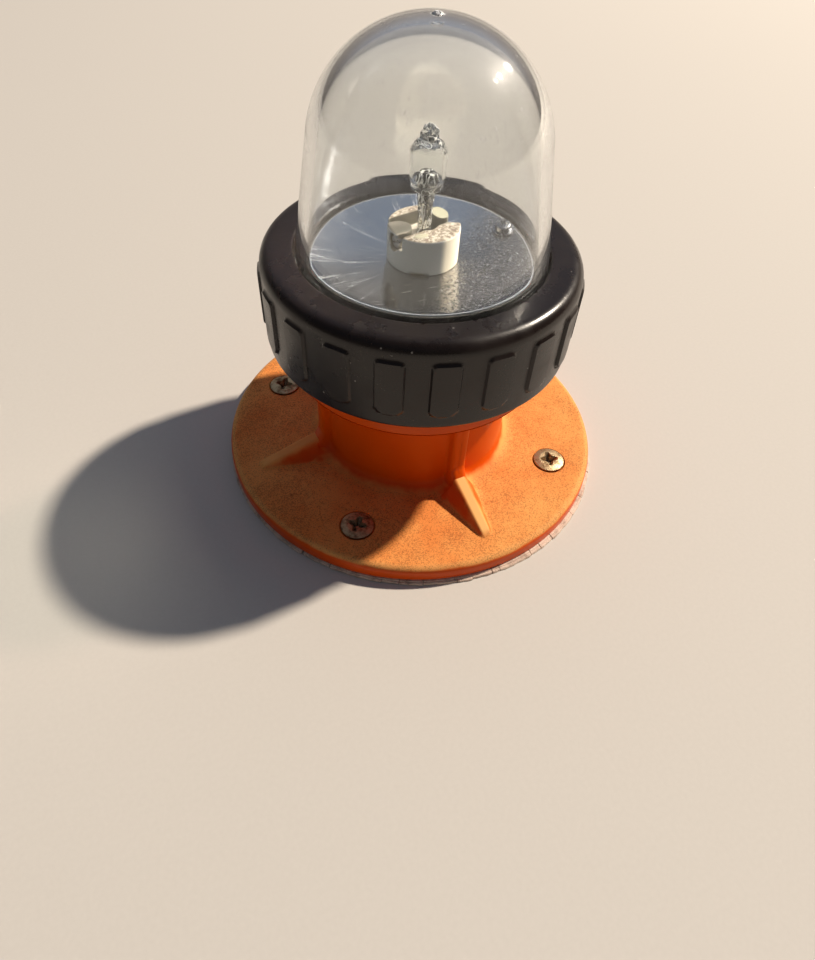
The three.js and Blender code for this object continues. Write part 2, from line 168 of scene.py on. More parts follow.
# Warm and dim near the horizon, pale blue overhead, with one broad bright patch behind
sky_way = node(tree, "TexCoord").outputs["Generated"]
sky_height = node(tree, "SeparateXYZ", [sky_way])
sky_share = node(tree, "MapRange", [sky_height.outputs["Z"], 0.0, 0.7], interpolation_type="SMOOTHSTEP")
sky_tint = node(tree, "Mix", [sky_share, "#e6d6ca", "#ccdcf4"], data_type="RGBA")
sky_near = node(tree, "VectorMath", [sky_way, BRIGHT_WAY.normalized()], operation="DOT_PRODUCT")
sky_level = node(tree, "MapRange", [
    sky_near, 0.45, 0.95, SKY_DIM, SKY_BRIGHT,
], interpolation_type="SMOOTHSTEP")
node(tree, "OutputWorld", [node(tree, "Background", {"Color": sky_tint, "Strength": sky_level})])
bpy.context.scene.view_settings.view_transform = "Standard"


# Bedding sealant: the pale bead that squeezed out under the flange and went hard. It has
# cracked into short lengths round the rim, with dirt in the cracks and one length missing.
def rounded(corners, step, closed=True):
    """Section points from (radius, height, corner radius) rows, no further apart than step."""
    count = len(corners)
    spots = [np.array(c[:2], float) for c in corners]
    path = []
    for i, (_, _, radius) in enumerate(corners):
        here, before, after = spots[i], spots[i - 1], spots[(i + 1) % count]
        if radius == 0 or (not closed and i in (0, count - 1)):
            path.append(here)
            continue
        into = (before - here) / np.linalg.norm(before - here)
        out = (after - here) / np.linalg.norm(after - here)
        half = math.acos(np.clip(into @ out, -1, 1)) / 2
        centre = here + (into + out) / np.linalg.norm(into + out) * radius / math.sin(half)
        start, end = here + into * radius / math.tan(half), here + out * radius / math.tan(half)
        turn = math.pi - 2 * half
        pieces = max(3, math.ceil(turn * radius / step), math.ceil(turn / 0.3))
        first, last = start - centre, end - centre
        for k in range(pieces + 1):
            share = k / pieces
            mix = math.sin((1 - share) * turn) * first + math.sin(share * turn) * last
            path.append(centre + mix / math.sin(turn))
    dense = []
    pairs = zip(path, path[1:] + path[:1]) if closed else zip(path, path[1:])
    for a, b in pairs:
        parts = max(1, math.ceil(np.linalg.norm(b - a) / step))
        dense += [a + (b - a) * k / parts for k in range(parts)]
    if not closed:
        dense.append(path[-1])
    return np.array(dense)


def turned(section, angles):
    """Grid of points, one row for each section point and one column for each angle."""
    across = section[:, 0][:, None]
    height = np.repeat(section[:, 1][:, None], len(angles), axis=1)
    return np.stack([across * np.cos(angles), across * np.sin(angles), height], axis=2)


def around(count):
    return np.arange(count) * 2 * math.pi / count


def skin(name, grid, loop=True, caps=False):
    """Mesh of a grid that closes round its columns, and round its rows if loop is set."""
    rows, columns, _ = grid.shape
    index = np.arange(rows * columns).reshape(rows, columns)
    low = index if loop else index[:-1]
    high = np.roll(index, -1, axis=0) if loop else index[1:]
    corners = [low, np.roll(low, -1, axis=1), np.roll(high, -1, axis=1), high]
    faces = [tuple(q) for q in np.stack(corners, axis=2).reshape(-1, 4).tolist()]
    if caps:
        faces += [tuple(index[0][::-1].tolist()), tuple(index[-1].tolist())]
    mesh = bpy.data.meshes.new(name)
    mesh.from_pydata((grid.reshape(-1, 3) * MM).tolist(), [], faces)
    return mesh


SMOOTH_ANGLE = math.radians(35)


def tidy_mesh(mesh):
    """Merges doubled points, turns faces outwards and shades smooth up to an angle."""
    work = bmesh.new()
    work.from_mesh(mesh)
    bmesh.ops.remove_doubles(work, verts=work.verts, dist=1e-6)
    bmesh.ops.dissolve_degenerate(work, edges=work.edges, dist=1e-7)
    bmesh.ops.recalc_face_normals(work, faces=work.faces)
    work.to_mesh(mesh)
    work.free()
    mesh.polygons.foreach_set("use_smooth", [True] * len(mesh.polygons))
    mesh.set_sharp_from_angle(angle=SMOOTH_ANGLE)
    mesh.update()


def place(mesh, material, body, slot, *nodes):
    """Shows a mesh as a piece of the light, riding on a body in place of CAD nodes."""
    tidy_mesh(mesh)
    mesh.materials.clear()
    mesh.materials.append(material)
    piece = add_object(mesh.name, mesh)
    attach(piece, body)
    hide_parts(*nodes)
    return piece


def joined(name, meshes):
    """One mesh out of several, kept as separate shells."""
    work = bmesh.new()
    for mesh in meshes:
        work.from_mesh(mesh)
    both = bpy.data.meshes.new(name)
    work.to_mesh(both)
    work.free()
    for mesh in meshes:
        bpy.data.meshes.remove(mesh)
    return both


SEAL_TOP = 1.2
SEAL_OPEN_R = 31.0
BEAD_INNER_R = 56.5
FLANGE_FOOT_R = 57.25
# The bead hardly shows at the back left and is widest at the front right
BEAD_LEAST_R = 57.85
BEAD_SWELL = 1.15
BEAD_WIDEST_AT = math.radians(-72)
BEAD_SPREAD = math.radians(58)
CRUMB_MM = 7.5
BEAD_POINT_MM = 0.7
CRACK_MM = 0.2
LOST_FROM, LOST_TO = math.radians(212.4), math.radians(215.2)
random = np.random.default_rng(7)


def bead_reach(angle):
    past = (angle - BEAD_WIDEST_AT + math.pi) % (2 * math.pi) - math.pi
    return BEAD_LEAST_R + BEAD_SWELL * math.exp(-(past / BEAD_SPREAD) ** 2)


def bead_crumb(start, end):
    """One length of the cracked bead, a little out of line with its neighbours."""
    shove = random.uniform(-0.12, 0.14)
    drop = random.uniform(0.0, 0.15)
    # A long crease runs along the bead where it was wiped with a finger
    section = rounded([
        (BEAD_INNER_R, 0.03, 0), (FLANGE_FOOT_R + 1, 0.03, 0.15),
        (FLANGE_FOOT_R + 0.85, 0.75 - drop, 0.2), (FLANGE_FOOT_R + 0.6, 0.95 - drop, 0.08),
        (FLANGE_FOOT_R + 0.5, 0.7, 0.06),
        (FLANGE_FOOT_R + 0.4, SEAL_TOP - 0.05 - drop, 0.08), (FLANGE_FOOT_R, SEAL_TOP - 0.02, 0),
        (BEAD_INNER_R, SEAL_TOP - 0.02, 0),
    ], 0.8)
    count = max(3, round((end - start) * BEAD_LEAST_R / BEAD_POINT_MM))
    angles = np.linspace(start, end, count + 1)
    ragged = 0.07 * np.sin(angles * 57) + 0.05 * np.sin(angles * 131 + 2) + shove
    stretch = np.array([bead_reach(a) for a in angles]) + ragged - FLANGE_FOOT_R
    rows = []
    for angle, longer in zip(angles, stretch):
        out = section[:, 0] - FLANGE_FOOT_R
        across = FLANGE_FOOT_R + np.where(out > 0, out * longer, out)
        rows.append(turned(np.stack([across, section[:, 1]], axis=1), np.array([angle]))[:, 0, :])
    return skin("crumb", np.array(rows), loop=False, caps=True)


bead_edges = np.cumsum(random.uniform(0.3, 1.7, 100)) * CRUMB_MM / BEAD_LEAST_R
bead_edges = np.concatenate([[0.0], bead_edges[bead_edges < 2 * math.pi - 0.05], [2 * math.pi]])
crack = CRACK_MM / BEAD_LEAST_R
crumbs = []
for start, end in zip(bead_edges, bead_edges[1:]):
    end -= crack * random.uniform(0.4, 1.6)
    if start < LOST_FROM < end:
        crumbs.append(bead_crumb(start, LOST_FROM))
        start = LOST_TO
    if end - start > 0.01:
        crumbs.append(bead_crumb(start, end))
bed_section = rounded([
    (SEAL_OPEN_R, 0, 0.2), (BEAD_INNER_R - 0.1, 0, 0.2), (BEAD_INNER_R - 0.1, SEAL_TOP - 0.02, 0.1),
    (SEAL_OPEN_R, SEAL_TOP - 0.02, 0.1),
], 6)
bed = skin("bed", turned(bed_section, around(160)))

sealant, tree, spot = new_material("hardened_polysulphide_sealant")
# Dirt sits in blotches of 3 to 4 mm and the skin is wrinkled at half a millimetre
grime = node(tree, "TexNoise", {"Vector": spot, "Scale": 280.0, "Detail": 8.0, "Roughness": 0.68})
grime_mask = node(tree, "MapRange", [grime, 0.47, 0.74])
tint = node(tree, "Mix", [grime_mask, "#dcc4b2", "#866a5a"], data_type="RGBA")
wrinkle = node(tree, "TexNoise", {"Vector": spot, "Scale": 1800.0, "Detail": 4.0})
grain = node(tree, "Bump", {"Height": wrinkle, "Strength": 0.6, "Distance": 0.0003})
body = node(tree, "BsdfPrincipled", {"Base Color": tint, "Roughness": 0.85, "Normal": grain})
node(tree, "OutputMaterial", [body])
place(joined("bedding_sealant", [bed] + crumbs), sealant, "base", "sealant", "bedding_seal")


# Base moulding: flange, neck, four ribs, the threaded cup under the ring and the deck
# that carries the reflector, all one piece of orange plastic. The sun has chalked the
# faces that look up; the neck and the flange's rim keep their gloss.
FLANGE_R = 57.5
FLANGE_TOP = 6.0
FLANGE_EDGE = 2.0
WALL = 3.0
NECK_R = 28.5
NECK_FILLET = 4.5
NECK_TOP = 28.5
CUP_R = 36.5
COVE_R = 8.0
CUP_RIM = 60.6
COLLAR_R = 28.4
COLLAR_BORE_R = 24.6
DECK_UNDER = 57.6
CABLE_HOLE_R = 5.5
RIB_COUNT = 4
RIB_TIP_R = 50.6
RIB_TIP_HIGH = 0.75
RIB_NOSE = 2.4
RIB_KNEE = (32.3, 12.2)
RIB_ON_NECK = (30.8, 14.7)
RIB_STRAIGHT_Z = 19.0
RIB_HALF = 2.6
RIB_CREST_HALF = 1.0
RIB_SPREAD = 0.85
RIB_FOOT = 1.1
THREAD_PITCH = 4.0
THREAD_DEEP = 0.8
THREAD_FROM, THREAD_TO = 45.5, 58.5
PLATE_R = 28.6
PLATE_THICK = 0.9
PLATE_TOP = 66.0
PLATE_FLAT_R = 9.8
PLATE_BOWL_R = 150.0


def dish_height(radius):
    """Height of the reflector's polished side at a distance from the axis."""
    return PLATE_TOP + max(0.0, radius ** 2 - PLATE_FLAT_R ** 2) / (2 * PLATE_BOWL_R)


# Play between pieces that are put together by hand
PLAY = 0.3
UNDER_DISH = PLATE_THICK + PLAY
base_section = np.concatenate([
    rounded([
        (NECK_R - WALL, SEAL_TOP, 0), (FLANGE_R, SEAL_TOP, 0.5), (FLANGE_R, FLANGE_TOP, FLANGE_EDGE),
        (NECK_R, FLANGE_TOP, NECK_FILLET), (NECK_R, NECK_TOP + COVE_R, COVE_R),
        (CUP_R, NECK_TOP + COVE_R, 0.4), (CUP_R, CUP_RIM, 0),
    ], 0.72, closed=False)[:-1],
    rounded([
        (CUP_R, CUP_RIM, 0), (COLLAR_R, CUP_RIM, 0.3),
        (COLLAR_R, dish_height(COLLAR_R) - UNDER_DISH, 0.4),
        (COLLAR_BORE_R, dish_height(COLLAR_BORE_R) - UNDER_DISH, 0.4), (COLLAR_BORE_R, CUP_RIM, 0.3),
        (CABLE_HOLE_R, CUP_RIM, 0.2), (CABLE_HOLE_R, DECK_UNDER, 0.2), (CUP_R - WALL, DECK_UNDER, 2.0),
        (CUP_R - WALL, 40.5, 4.0), (NECK_R - WALL, 31.5, 4.0), (NECK_R - WALL, SEAL_TOP, 0),
    ], 3.0, closed=False)[:-1],
])
# Closer rows where the ribs' round noses stand on the flange
near_tip = []
for here, after in zip(base_section, np.roll(base_section, -1, axis=0)):
    near_tip.append(here)
    low_r, high_r = sorted((here[0], after[0]))
    on_top = min(here[1], after[1]) > FLANGE_TOP - 1e-3
    if on_top and low_r > RIB_TIP_R - 2.8 and high_r < RIB_TIP_R + 0.9:
        near_tip += [here + (after - here) * k / 3 for k in (1, 2)]
base_section = np.array(near_tip)


def nose(r):
    """Falls from 1 to 0 over the rib's round end."""
    past = np.clip((r - RIB_TIP_R + RIB_NOSE) / RIB_NOSE, 0, 1)
    return 1 - past ** 2


def ridge_point(r, z):
    """Where the rib's ridge stands over a point of the base's skin, and how boxy it is."""
    knee_r, knee_z = RIB_KNEE
    slope = (knee_z - FLANGE_TOP - RIB_TIP_HIGH) / (RIB_TIP_R - knee_r)
    fillet_r, fillet_z = NECK_R + NECK_FILLET, FLANGE_TOP + NECK_FILLET
    if z < FLANGE_TOP - 1e-3 or z > NECK_TOP + COVE_R or r > RIB_TIP_R:
        return r, z, 0.0
    if z < FLANGE_TOP + 1e-3:
        return r, FLANGE_TOP + (RIB_TIP_HIGH + slope * (RIB_TIP_R - r)) * float(nose(r)), 0.0
    if z < fillet_z - 1e-3 and r < fillet_r:
        share = math.atan2(fillet_r - r, fillet_z - z) / (math.pi / 2)
        if share < 0.5:
            low_r, low_z = fillet_r, FLANGE_TOP + RIB_TIP_HIGH + slope * (RIB_TIP_R - fillet_r)
            part = share * 2
            return low_r + (knee_r - low_r) * part, low_z + (knee_z - low_z) * part, share
        part = share * 2 - 1
        return knee_r + (RIB_ON_NECK[0] - knee_r) * part, knee_z + (RIB_ON_NECK[1] - knee_z) * part, share
    if r >= RIB_ON_NECK[0]:
        return r, z, 1.0
    if z < RIB_STRAIGHT_Z:
        part = (z - fillet_z) / (RIB_STRAIGHT_Z - fillet_z)
        return RIB_ON_NECK[0], RIB_ON_NECK[1] + (RIB_STRAIGHT_Z - RIB_ON_NECK[1]) * part, 1.0
    return RIB_ON_NECK[0], z, 1.0


def rib_share(offset, height, boxy):
    """How far towards the ridge a point is raised, at an offset from the rib's middle."""
    power = 2.0 + 1.6 * boxy
    across = np.clip(offset / RIB_HALF, 0, 1)
    round_top = (1 - across ** power) ** (1 / power)
    cap = np.maximum(height - RIB_HALF, 0) + np.minimum(height, RIB_HALF) * round_top
    foot = np.minimum(RIB_FOOT, height)
    past = np.clip(RIB_HALF + foot - offset, 0, foot)
    fillet = foot - np.sqrt(np.clip(foot ** 2 - past ** 2, 0, None))
    upright = np.where(offset < RIB_HALF, np.maximum(cap, foot), fillet) / np.maximum(height, 1e-6)
    # On the flange the rib's sides slope out to its foot
    down = np.clip((offset - RIB_CREST_HALF) / (0.5 + RIB_SPREAD * height), 0, 1)
    sloping = 1 - down * down * (3 - 2 * down)
    return np.where(height > 1e-6, upright * boxy + sloping * (1 - boxy), 0.0)


FINE_TURN = math.radians(0.36)
FINE_HALF = math.radians(7.56)
fine = np.arange(-FINE_HALF, FINE_HALF + 1e-9, FINE_TURN)
coarse = np.linspace(FINE_HALF, math.pi / 2 - FINE_HALF, 30)[1:-1]
quarter = np.concatenate([fine, coarse])
base_angles = np.concatenate([quarter + k * math.pi / 2 for k in range(RIB_COUNT)])
base_grid = turned(base_section, base_angles)
ridge = np.array([ridge_point(r, z) for r, z in base_section])
rib_way = np.round(base_angles / (math.pi / 2)) * math.pi / 2
offsets = np.abs(base_section[:, 0][:, None] * np.sin(base_angles - rib_way)[None, :])
rib_height = np.hypot(ridge[:, 0] - base_section[:, 0], ridge[:, 1] - base_section[:, 1])[:, None]
lift = rib_share(offsets, rib_height, ridge[:, 2][:, None])
out = (ridge[:, 0] - base_section[:, 0])[:, None] * lift
base_grid[:, :, 0] += out * np.cos(rib_way)
base_grid[:, :, 1] += out * np.sin(rib_way)
base_grid[:, :, 2] += (ridge[:, 1] - base_section[:, 1])[:, None] * lift

climb = THREAD_PITCH * base_angles / (2 * math.pi)
phase = ((base_section[:, 1][:, None] - climb[None, :]) / THREAD_PITCH) % 1.0
groove = np.clip((np.abs(phase - 0.5) - 0.18) / 0.14, 0, 1)
# The thread runs out through the cup's rim, so that the ring can be screwed off
ends = np.clip((base_section[:, 1] - THREAD_FROM) / 1.5, 0, 1)
sunk = (THREAD_DEEP * (base_section[:, 0] > CUP_R - 0.05) * ends)[:, None] * groove
base_grid[:, :, 0] -= sunk * np.cos(base_angles)
base_grid[:, :, 1] -= sunk * np.sin(base_angles)
base_mesh = skin("base_moulding", base_grid)


def settled(target):
    """The object's mesh with its modifiers applied, under its old name. The object goes."""
    mesh = target.data
    name = mesh.name
    shaped = target.evaluated_get(bpy.context.evaluated_depsgraph_get())
    result = bpy.data.meshes.new_from_object(shaped)
    bpy.data.objects.remove(target)
    bpy.data.meshes.remove(mesh)
    result.name = name
    return result


def carve(mesh, cutters, operation="DIFFERENCE"):
    """Cuts closed meshes out of a closed mesh, or adds them to it."""
    target = add_object("carve_target", mesh)
    tidy_mesh(mesh)
    tools = bpy.data.collections.new("carve_tools")
    for cutter in cutters:
        tidy_mesh(cutter)
        tools.objects.link(bpy.data.objects.new("cutter", cutter))
    cut = target.modifiers.new("cut", "BOOLEAN")
    cut.operation = operation
    cut.operand_type = "COLLECTION"
    cut.solver = "MANIFOLD"
    cut.collection = tools
    result = settled(target)
    for tool in list(tools.objects):
        bpy.data.objects.remove(tool)
    for cutter in cutters:
        bpy.data.meshes.remove(cutter)
    bpy.data.collections.remove(tools)
    return result


def moved(mesh, x=0.0, y=0.0, z=0.0, turn=0.0):
    """The mesh, turned about Z and then moved, in millimetres."""
    mesh.transform(Matrix.Translation(Vector((x, y, z)) * MM) @ Matrix.Rotation(turn, 4, "Z"))
    return mesh


def round_bar(name, section, count):
    """A solid turned about the axis; its section starts and ends on the axis."""
    mesh = skin(name, turned(section[1:-1], around(count)), loop=False)
    work = bmesh.new()
    work.from_mesh(mesh)
    points = list(work.verts)
    for end, edge in ((section[0], points[:count]), (section[-1], points[-count:])):
        tip = work.verts.new((0, 0, end[1] * MM))
        for a, b in zip(edge, edge[1:] + edge[:1]):
            work.faces.new((a, b, tip))
    work.to_mesh(mesh)
    work.free()
    return mesh


PLATE_SCREW_CIRCLE_R = 25.4
PLATE_SCREW_TURN = math.radians(2.4)
PLATE_SCREW_R = 1.5
PLATE_SCREW_DEEP = 4.5


def on_dish(mesh):
    """Sets a mesh that stands at the origin on the reflector, square to its slope there."""
    slope = Matrix.Rotation(-math.atan(PLATE_SCREW_CIRCLE_R / PLATE_BOWL_R), 4, "Y")
    spot = Vector((PLATE_SCREW_CIRCLE_R, 0.0, dish_height(PLATE_SCREW_CIRCLE_R))) * MM
    mesh.transform(Matrix.Rotation(PLATE_SCREW_TURN, 4, "Z") @ Matrix.Translation(spot) @ slope)
    return mesh


SCREW_CIRCLE_R = 45.5
SCREW_HEAD_R = 4.7
SCREW_SHANK_R = 2.4
SCREW_GAP = 0.25
SCREW_CONE = 2.3
screw_turns = [math.radians(45 + 90 * k) for k in range(RIB_COUNT)]


def screw_seat(turn):
    """The countersunk hole for a flange screw."""
    shank, head = SCREW_SHANK_R + SCREW_GAP, SCREW_HEAD_R + SCREW_GAP
    seat = round_bar("seat", rounded([
        (0, 0, 0), (shank, 0, 0), (shank, FLANGE_TOP - SCREW_CONE - 0.3, 0), (head, FLANGE_TOP - 0.3, 0),
        (head + SCREW_GAP, FLANGE_TOP + 0.05, 0), (head + SCREW_GAP, 8, 0), (0, 8, 0),
    ], 4, closed=False), 64)
    return moved(seat, x=SCREW_CIRCLE_R * math.cos(turn), y=SCREW_CIRCLE_R * math.sin(turn))


def pilot_hole():
    """The hole for the reflector's screw."""
    reach = PLATE_SCREW_R + SCREW_GAP
    hole = round_bar("pilot", rounded([
        (0, -PLATE_SCREW_DEEP - 0.8, 0), (reach, -PLATE_SCREW_DEEP - 0.8, 0), (reach, 1, 0), (0, 1, 0),
    ], 4, closed=False), 32)
    return on_dish(hole)


base_mesh = carve(base_mesh, [screw_seat(t) for t in screw_turns] + [pilot_hole()])


def axis_distance(tree, spot):
    """How far a point lies from the light's axis."""
    flat = node(tree, "VectorMath", [spot, (1.0, 1.0, 0.0)], operation="MULTIPLY")
    return node(tree, "VectorMath", [flat], operation="LENGTH")


orange, tree, spot = new_material("uv_chalked_moulded_abs")
facing_up = node(tree, "SeparateXYZ", [node(tree, "NewGeometry").outputs["Normal"]])
height = node(tree, "SeparateXYZ", [spot])
# Fading comes in clouds about 20 mm wide
cloud = node(tree, "TexNoise", {"Vector": spot, "Scale": 55.0, "Detail": 6.0, "Roughness": 0.6})
above_flange = node(tree, "MapRange", [height.outputs["Z"], 0.0061, 0.0068, 0.0, -0.14])
tilted = node(tree, "Math", [facing_up.outputs["Z"], above_flange], operation="ADD")
upward = node(tree, "Math", [tilted, cloud], operation="ADD")
chalked = node(tree, "MapRange", [upward, 0.86, 1.25], interpolation_type="SMOOTHSTEP")
low_down = node(tree, "MapRange", [height.outputs["Z"], 0.017, 0.0132])
chalk = node(tree, "Math", [chalked, low_down], operation="MULTIPLY")
fresh = node(tree, "Mix", [cloud, "#d24702", "#e45a04"], data_type="RGBA")
patches = node(tree, "MapRange", [cloud, 0.36, 0.64])
faded = node(tree, "Mix", [patches, "#e58b45", "#f2a65b"], data_type="RGBA")
# The ribs' crests and the flange's round edge get a pale painted highlight, weaker on the
# left rib, which lies in shade. A crest is told by how near it lies to the X or the Y axis
far_x = node(tree, "Math", [height.outputs["X"]], operation="ABSOLUTE")
far_y = node(tree, "Math", [height.outputs["Y"]], operation="ABSOLUTE")
off_axis = node(tree, "Math", [far_x, far_y], operation="MINIMUM")
near_axis = node(tree, "MapRange", [off_axis, 0.0016, 0.0009, 0.0, 0.85])
on_rib = node(tree, "MapRange", [height.outputs["Z"], 0.0062, 0.0072])
# Painted shade: the left rib lies in shade, so its crest gets less of the painted highlight
painted_highlight_out_of_shade = node(tree, "MapRange", [height.outputs["X"], -0.028, -0.018, 0.3])
crest_top = node(tree, "Math", [near_axis, on_rib], operation="MULTIPLY")
crest = node(tree, "Math", [crest_top, painted_highlight_out_of_shade], operation="MULTIPLY")
painted_edge_highlight = node(tree, "MapRange", [axis_distance(tree, spot), 0.0554, 0.0564, 0.0, 0.3])
painted_highlight = node(tree, "Math", [crest, painted_edge_highlight], operation="MAXIMUM")
pale = node(tree, "Mix", [painted_highlight, faded, "#f5bd76"], data_type="RGBA")
plain = node(tree, "Mix", [chalk, fresh, pale], data_type="RGBA")
# Specks of dirt in the chalk: the real ones are a fifth of a millimetre, drawn at a third
# so that they show, and thicker in some places than in others
specks = node(tree, "TexNoise", {"Vector": spot, "Scale": 2600.0, "Detail": 2.0, "Roughness": 0.65})
crowding = node(tree, "TexNoise", {"Vector": spot, "Scale": 90.0, "Detail": 3.0})
crowded = node(tree, "Math", [crowding, 0.3], operation="MULTIPLY")
speck_height = node(tree, "Math", [specks, crowded], operation="ADD")
speck_mask = node(tree, "MapRange", [speck_height, 0.61, 0.78, 0.0, 0.5])
# Bigger grains of soot, half a millimetre to a millimetre across, lie far apart
soot_and_painted_shade = node(tree, "TexVoronoi", {"Vector": spot, "Scale": 170.0, "Randomness": 1.0})
soot_grain = node(tree, "MapRange", [soot_and_painted_shade, 0.1, 0.055, 0.0, 0.7])
soot_here = node(tree, "MapRange", [crowding, 0.47, 0.6])
soot_mask = node(tree, "Math", [soot_grain, soot_here], operation="MULTIPLY")
dark = node(tree, "Math", [speck_mask, soot_mask], operation="MAXIMUM")
on_flange = node(tree, "Math", [1.0, on_rib], operation="SUBTRACT")
flange_chalk = node(tree, "Math", [on_flange, chalk], operation="MULTIPLY")
speckled = node(tree, "Math", [dark, flange_chalk], operation="MULTIPLY")
tint = node(tree, "Mix", [speckled, plain, "#6e3719"], data_type="RGBA")
dull = node(tree, "MapRange", [chalk, 0.0, 1.0, 0.3, 0.72])
pitting = node(tree, "Math", [specks, flange_chalk], operation="MULTIPLY")
grain = node(tree, "Bump", {"Height": pitting, "Strength": 0.3, "Distance": 0.0002})
body = node(tree, "BsdfPrincipled", {
    "Base Color": tint, "Roughness": dull, "Normal": grain, "IOR": 1.52, "Specular IOR Level": 0.14,
})
node(tree, "OutputMaterial", [body])
place(base_mesh, orange, "base", "base", "base_housing")


# Flange screws: stainless countersunk screws with raised heads and cross recesses, worn
# bright on top, darkened in the recess and round the rim by ambient occlusion, as dirt and
# painted shade.
HEAD_PROUD = 0.85
HEAD_RIM = 0.35
HEAD_FLAT_R = 3.0
RECESS_DEEP = 1.9
# Outline of one arm of the cross, then the corner between two arms, as x and y
RECESS_ARM = ((2.8, -0.5), (2.8, 0.5), (1.08, 1.08))
RECESS_TAPER = 0.35
# Each screw was driven home to a turn of its own
DRIVEN_TO = [math.radians(degrees) for degrees in (20, 58, 47, 71)]


def cross_recess(top, deep, scale=1.0):
    """Cutter for a cross recess that tapers towards its bottom."""
    outline = []
    for k in range(4):
        turn = Matrix.Rotation(k * math.pi / 2, 2)
        outline += [turn @ Vector(corner) * scale for corner in RECESS_ARM]
    levels = ((RECESS_TAPER, top - deep), (1.0, top), (1.45, top + 0.6 * deep))
    grid = [[(p.x * share, p.y * share, z) for p in outline] for share, z in levels]
    return skin("recess", np.array(grid), loop=False, caps=True)


def flange_screw(index):
    rim = FLANGE_TOP
    screw = round_bar(f"countersunk_screw_{index}", rounded([
        (0, 0.3, 0), (SCREW_SHANK_R, 0.3, 0.2), (SCREW_SHANK_R, rim - SCREW_CONE, 0.3),
        (SCREW_HEAD_R, rim, 0.06), (SCREW_HEAD_R, rim + HEAD_RIM, 0.22),
        (HEAD_FLAT_R, rim + HEAD_PROUD - 0.03, 2.2), (0, rim + HEAD_PROUD, 0),
    ], 0.4, closed=False), 72)
    turn = screw_turns[index - 1]
    screw = carve(screw, [cross_recess(rim + HEAD_PROUD, RECESS_DEEP)])
    across, along = SCREW_CIRCLE_R * math.cos(turn), SCREW_CIRCLE_R * math.sin(turn)
    return moved(screw, x=across, y=along, turn=DRIVEN_TO[index - 1])


tarnished, tree, spot = new_material("tarnished_stainless_steel")
# Stains about 2 mm wide over pits of a fifth of a millimetre
blotch = node(tree, "TexNoise", {"Vector": spot, "Scale": 520.0, "Detail": 7.0, "Roughness": 0.65})
stain = node(tree, "MapRange", [blotch, 0.44, 0.62])
pits = node(tree, "TexNoise", {"Vector": spot, "Scale": 2600.0, "Detail": 4.0, "Roughness": 0.7})
# Ambient occlusion darkens the recess and the gap round the head: dirt and painted shade
dirt_and_painted_shade = node(tree, "AmbientOcclusion", {"Distance": 0.0012}, samples=8, only_local=True)
dirt_and_painted_shade_mask = node(tree, "MapRange", [dirt_and_painted_shade.outputs["AO"], 0.82, 0.45])
metal_tint = node(tree, "Mix", [stain, "#bfa884", "#856c4e"], data_type="RGBA")
metal_grain = node(tree, "Bump", {"Height": pits, "Strength": 0.55, "Distance": 0.0002})
metal_rough = node(tree, "MapRange", [stain, 0.0, 1.0, 0.45, 0.68])
metal = node(tree, "BsdfPrincipled", {
    "Base Color": metal_tint, "Metallic": 1.0, "Roughness": metal_rough, "Normal": metal_grain,
})
dark_dirt_and_shade = node(tree, "BsdfPrincipled", {"Base Color": "#241a12", "Roughness": 0.9})
both = node(tree, "MixShader", [dirt_and_painted_shade_mask, metal, dark_dirt_and_shade])
node(tree, "OutputMaterial", [both])
for index in range(1, RIB_COUNT + 1):
    place(flange_screw(index), tarnished, "base", "steel", f"flange_screw_{index}")


# Screw ring: black moulded plastic with twenty grip pads, a round shoulder and a flat
# top that closes in on the dome. Inside, a ridge runs round it as the thread. Salt and
# dust sit on the top in small specks.
RING_R = 41.65
RING_BORE_R = 37.2
RING_BOTTOM, RING_TOP = 44.0, 69.0
RING_HOLE_R = 32.8
RING_LIP = 3.3
RING_SHOULDER = 3.5
RIDGE_TALL = 1.1
PAD_COUNT = 20
PAD_PHASE = math.radians(-107.7)
PAD_HALF = 3.65
PAD_BOTTOM, PAD_TOP = 48.1, 64.2
PAD_PROUD = 0.7
PAD_EDGE = 0.4
PAD_LOW_CORNER = 2.6
PAD_HIGH_CORNER = 1.4

ring_section = np.concatenate([
    rounded([
        (RING_BORE_R, RING_BOTTOM, 0), (RING_R, RING_BOTTOM, 1.0), (RING_R, RING_TOP, RING_SHOULDER),
        (RING_HOLE_R, RING_TOP, 0.7), (RING_HOLE_R, RING_TOP - RING_LIP, 0),
    ], 0.45, closed=False)[:-1],
    rounded([
        (RING_HOLE_R, RING_TOP - RING_LIP, 0), (RING_BORE_R, RING_TOP - RING_LIP, 0.5),
        (RING_BORE_R, RING_BOTTOM, 0),
    ], 0.55, closed=False)[:-1],
])
ring_angles = around(PAD_COUNT * 30)
ring_grid = turned(ring_section, ring_angles)
pitch = 2 * math.pi / PAD_COUNT
from_pad = ((ring_angles - PAD_PHASE + pitch / 2) % pitch - pitch / 2) * RING_R
high = ring_section[:, 1][:, None] - (PAD_BOTTOM + PAD_TOP) / 2
corner = np.where(high > 0, PAD_HIGH_CORNER, PAD_LOW_CORNER)
past_side = np.abs(from_pad)[None, :] - PAD_HALF + corner
past_end = np.abs(high) - (PAD_TOP - PAD_BOTTOM) / 2 + corner
beyond = np.hypot(np.maximum(past_side, 0), np.maximum(past_end, 0))
outside = beyond + np.minimum(np.maximum(past_side, past_end), 0) - corner
rise = np.clip(-outside / PAD_EDGE, 0, 1)
proud = PAD_PROUD * np.sqrt(1 - (1 - rise) ** 2) * (ring_section[:, 0] > RING_R - 0.02)[:, None]
climb = THREAD_PITCH * ring_angles / (2 * math.pi)
phase = ((ring_section[:, 1][:, None] - climb[None, :]) / THREAD_PITCH) % 1.0
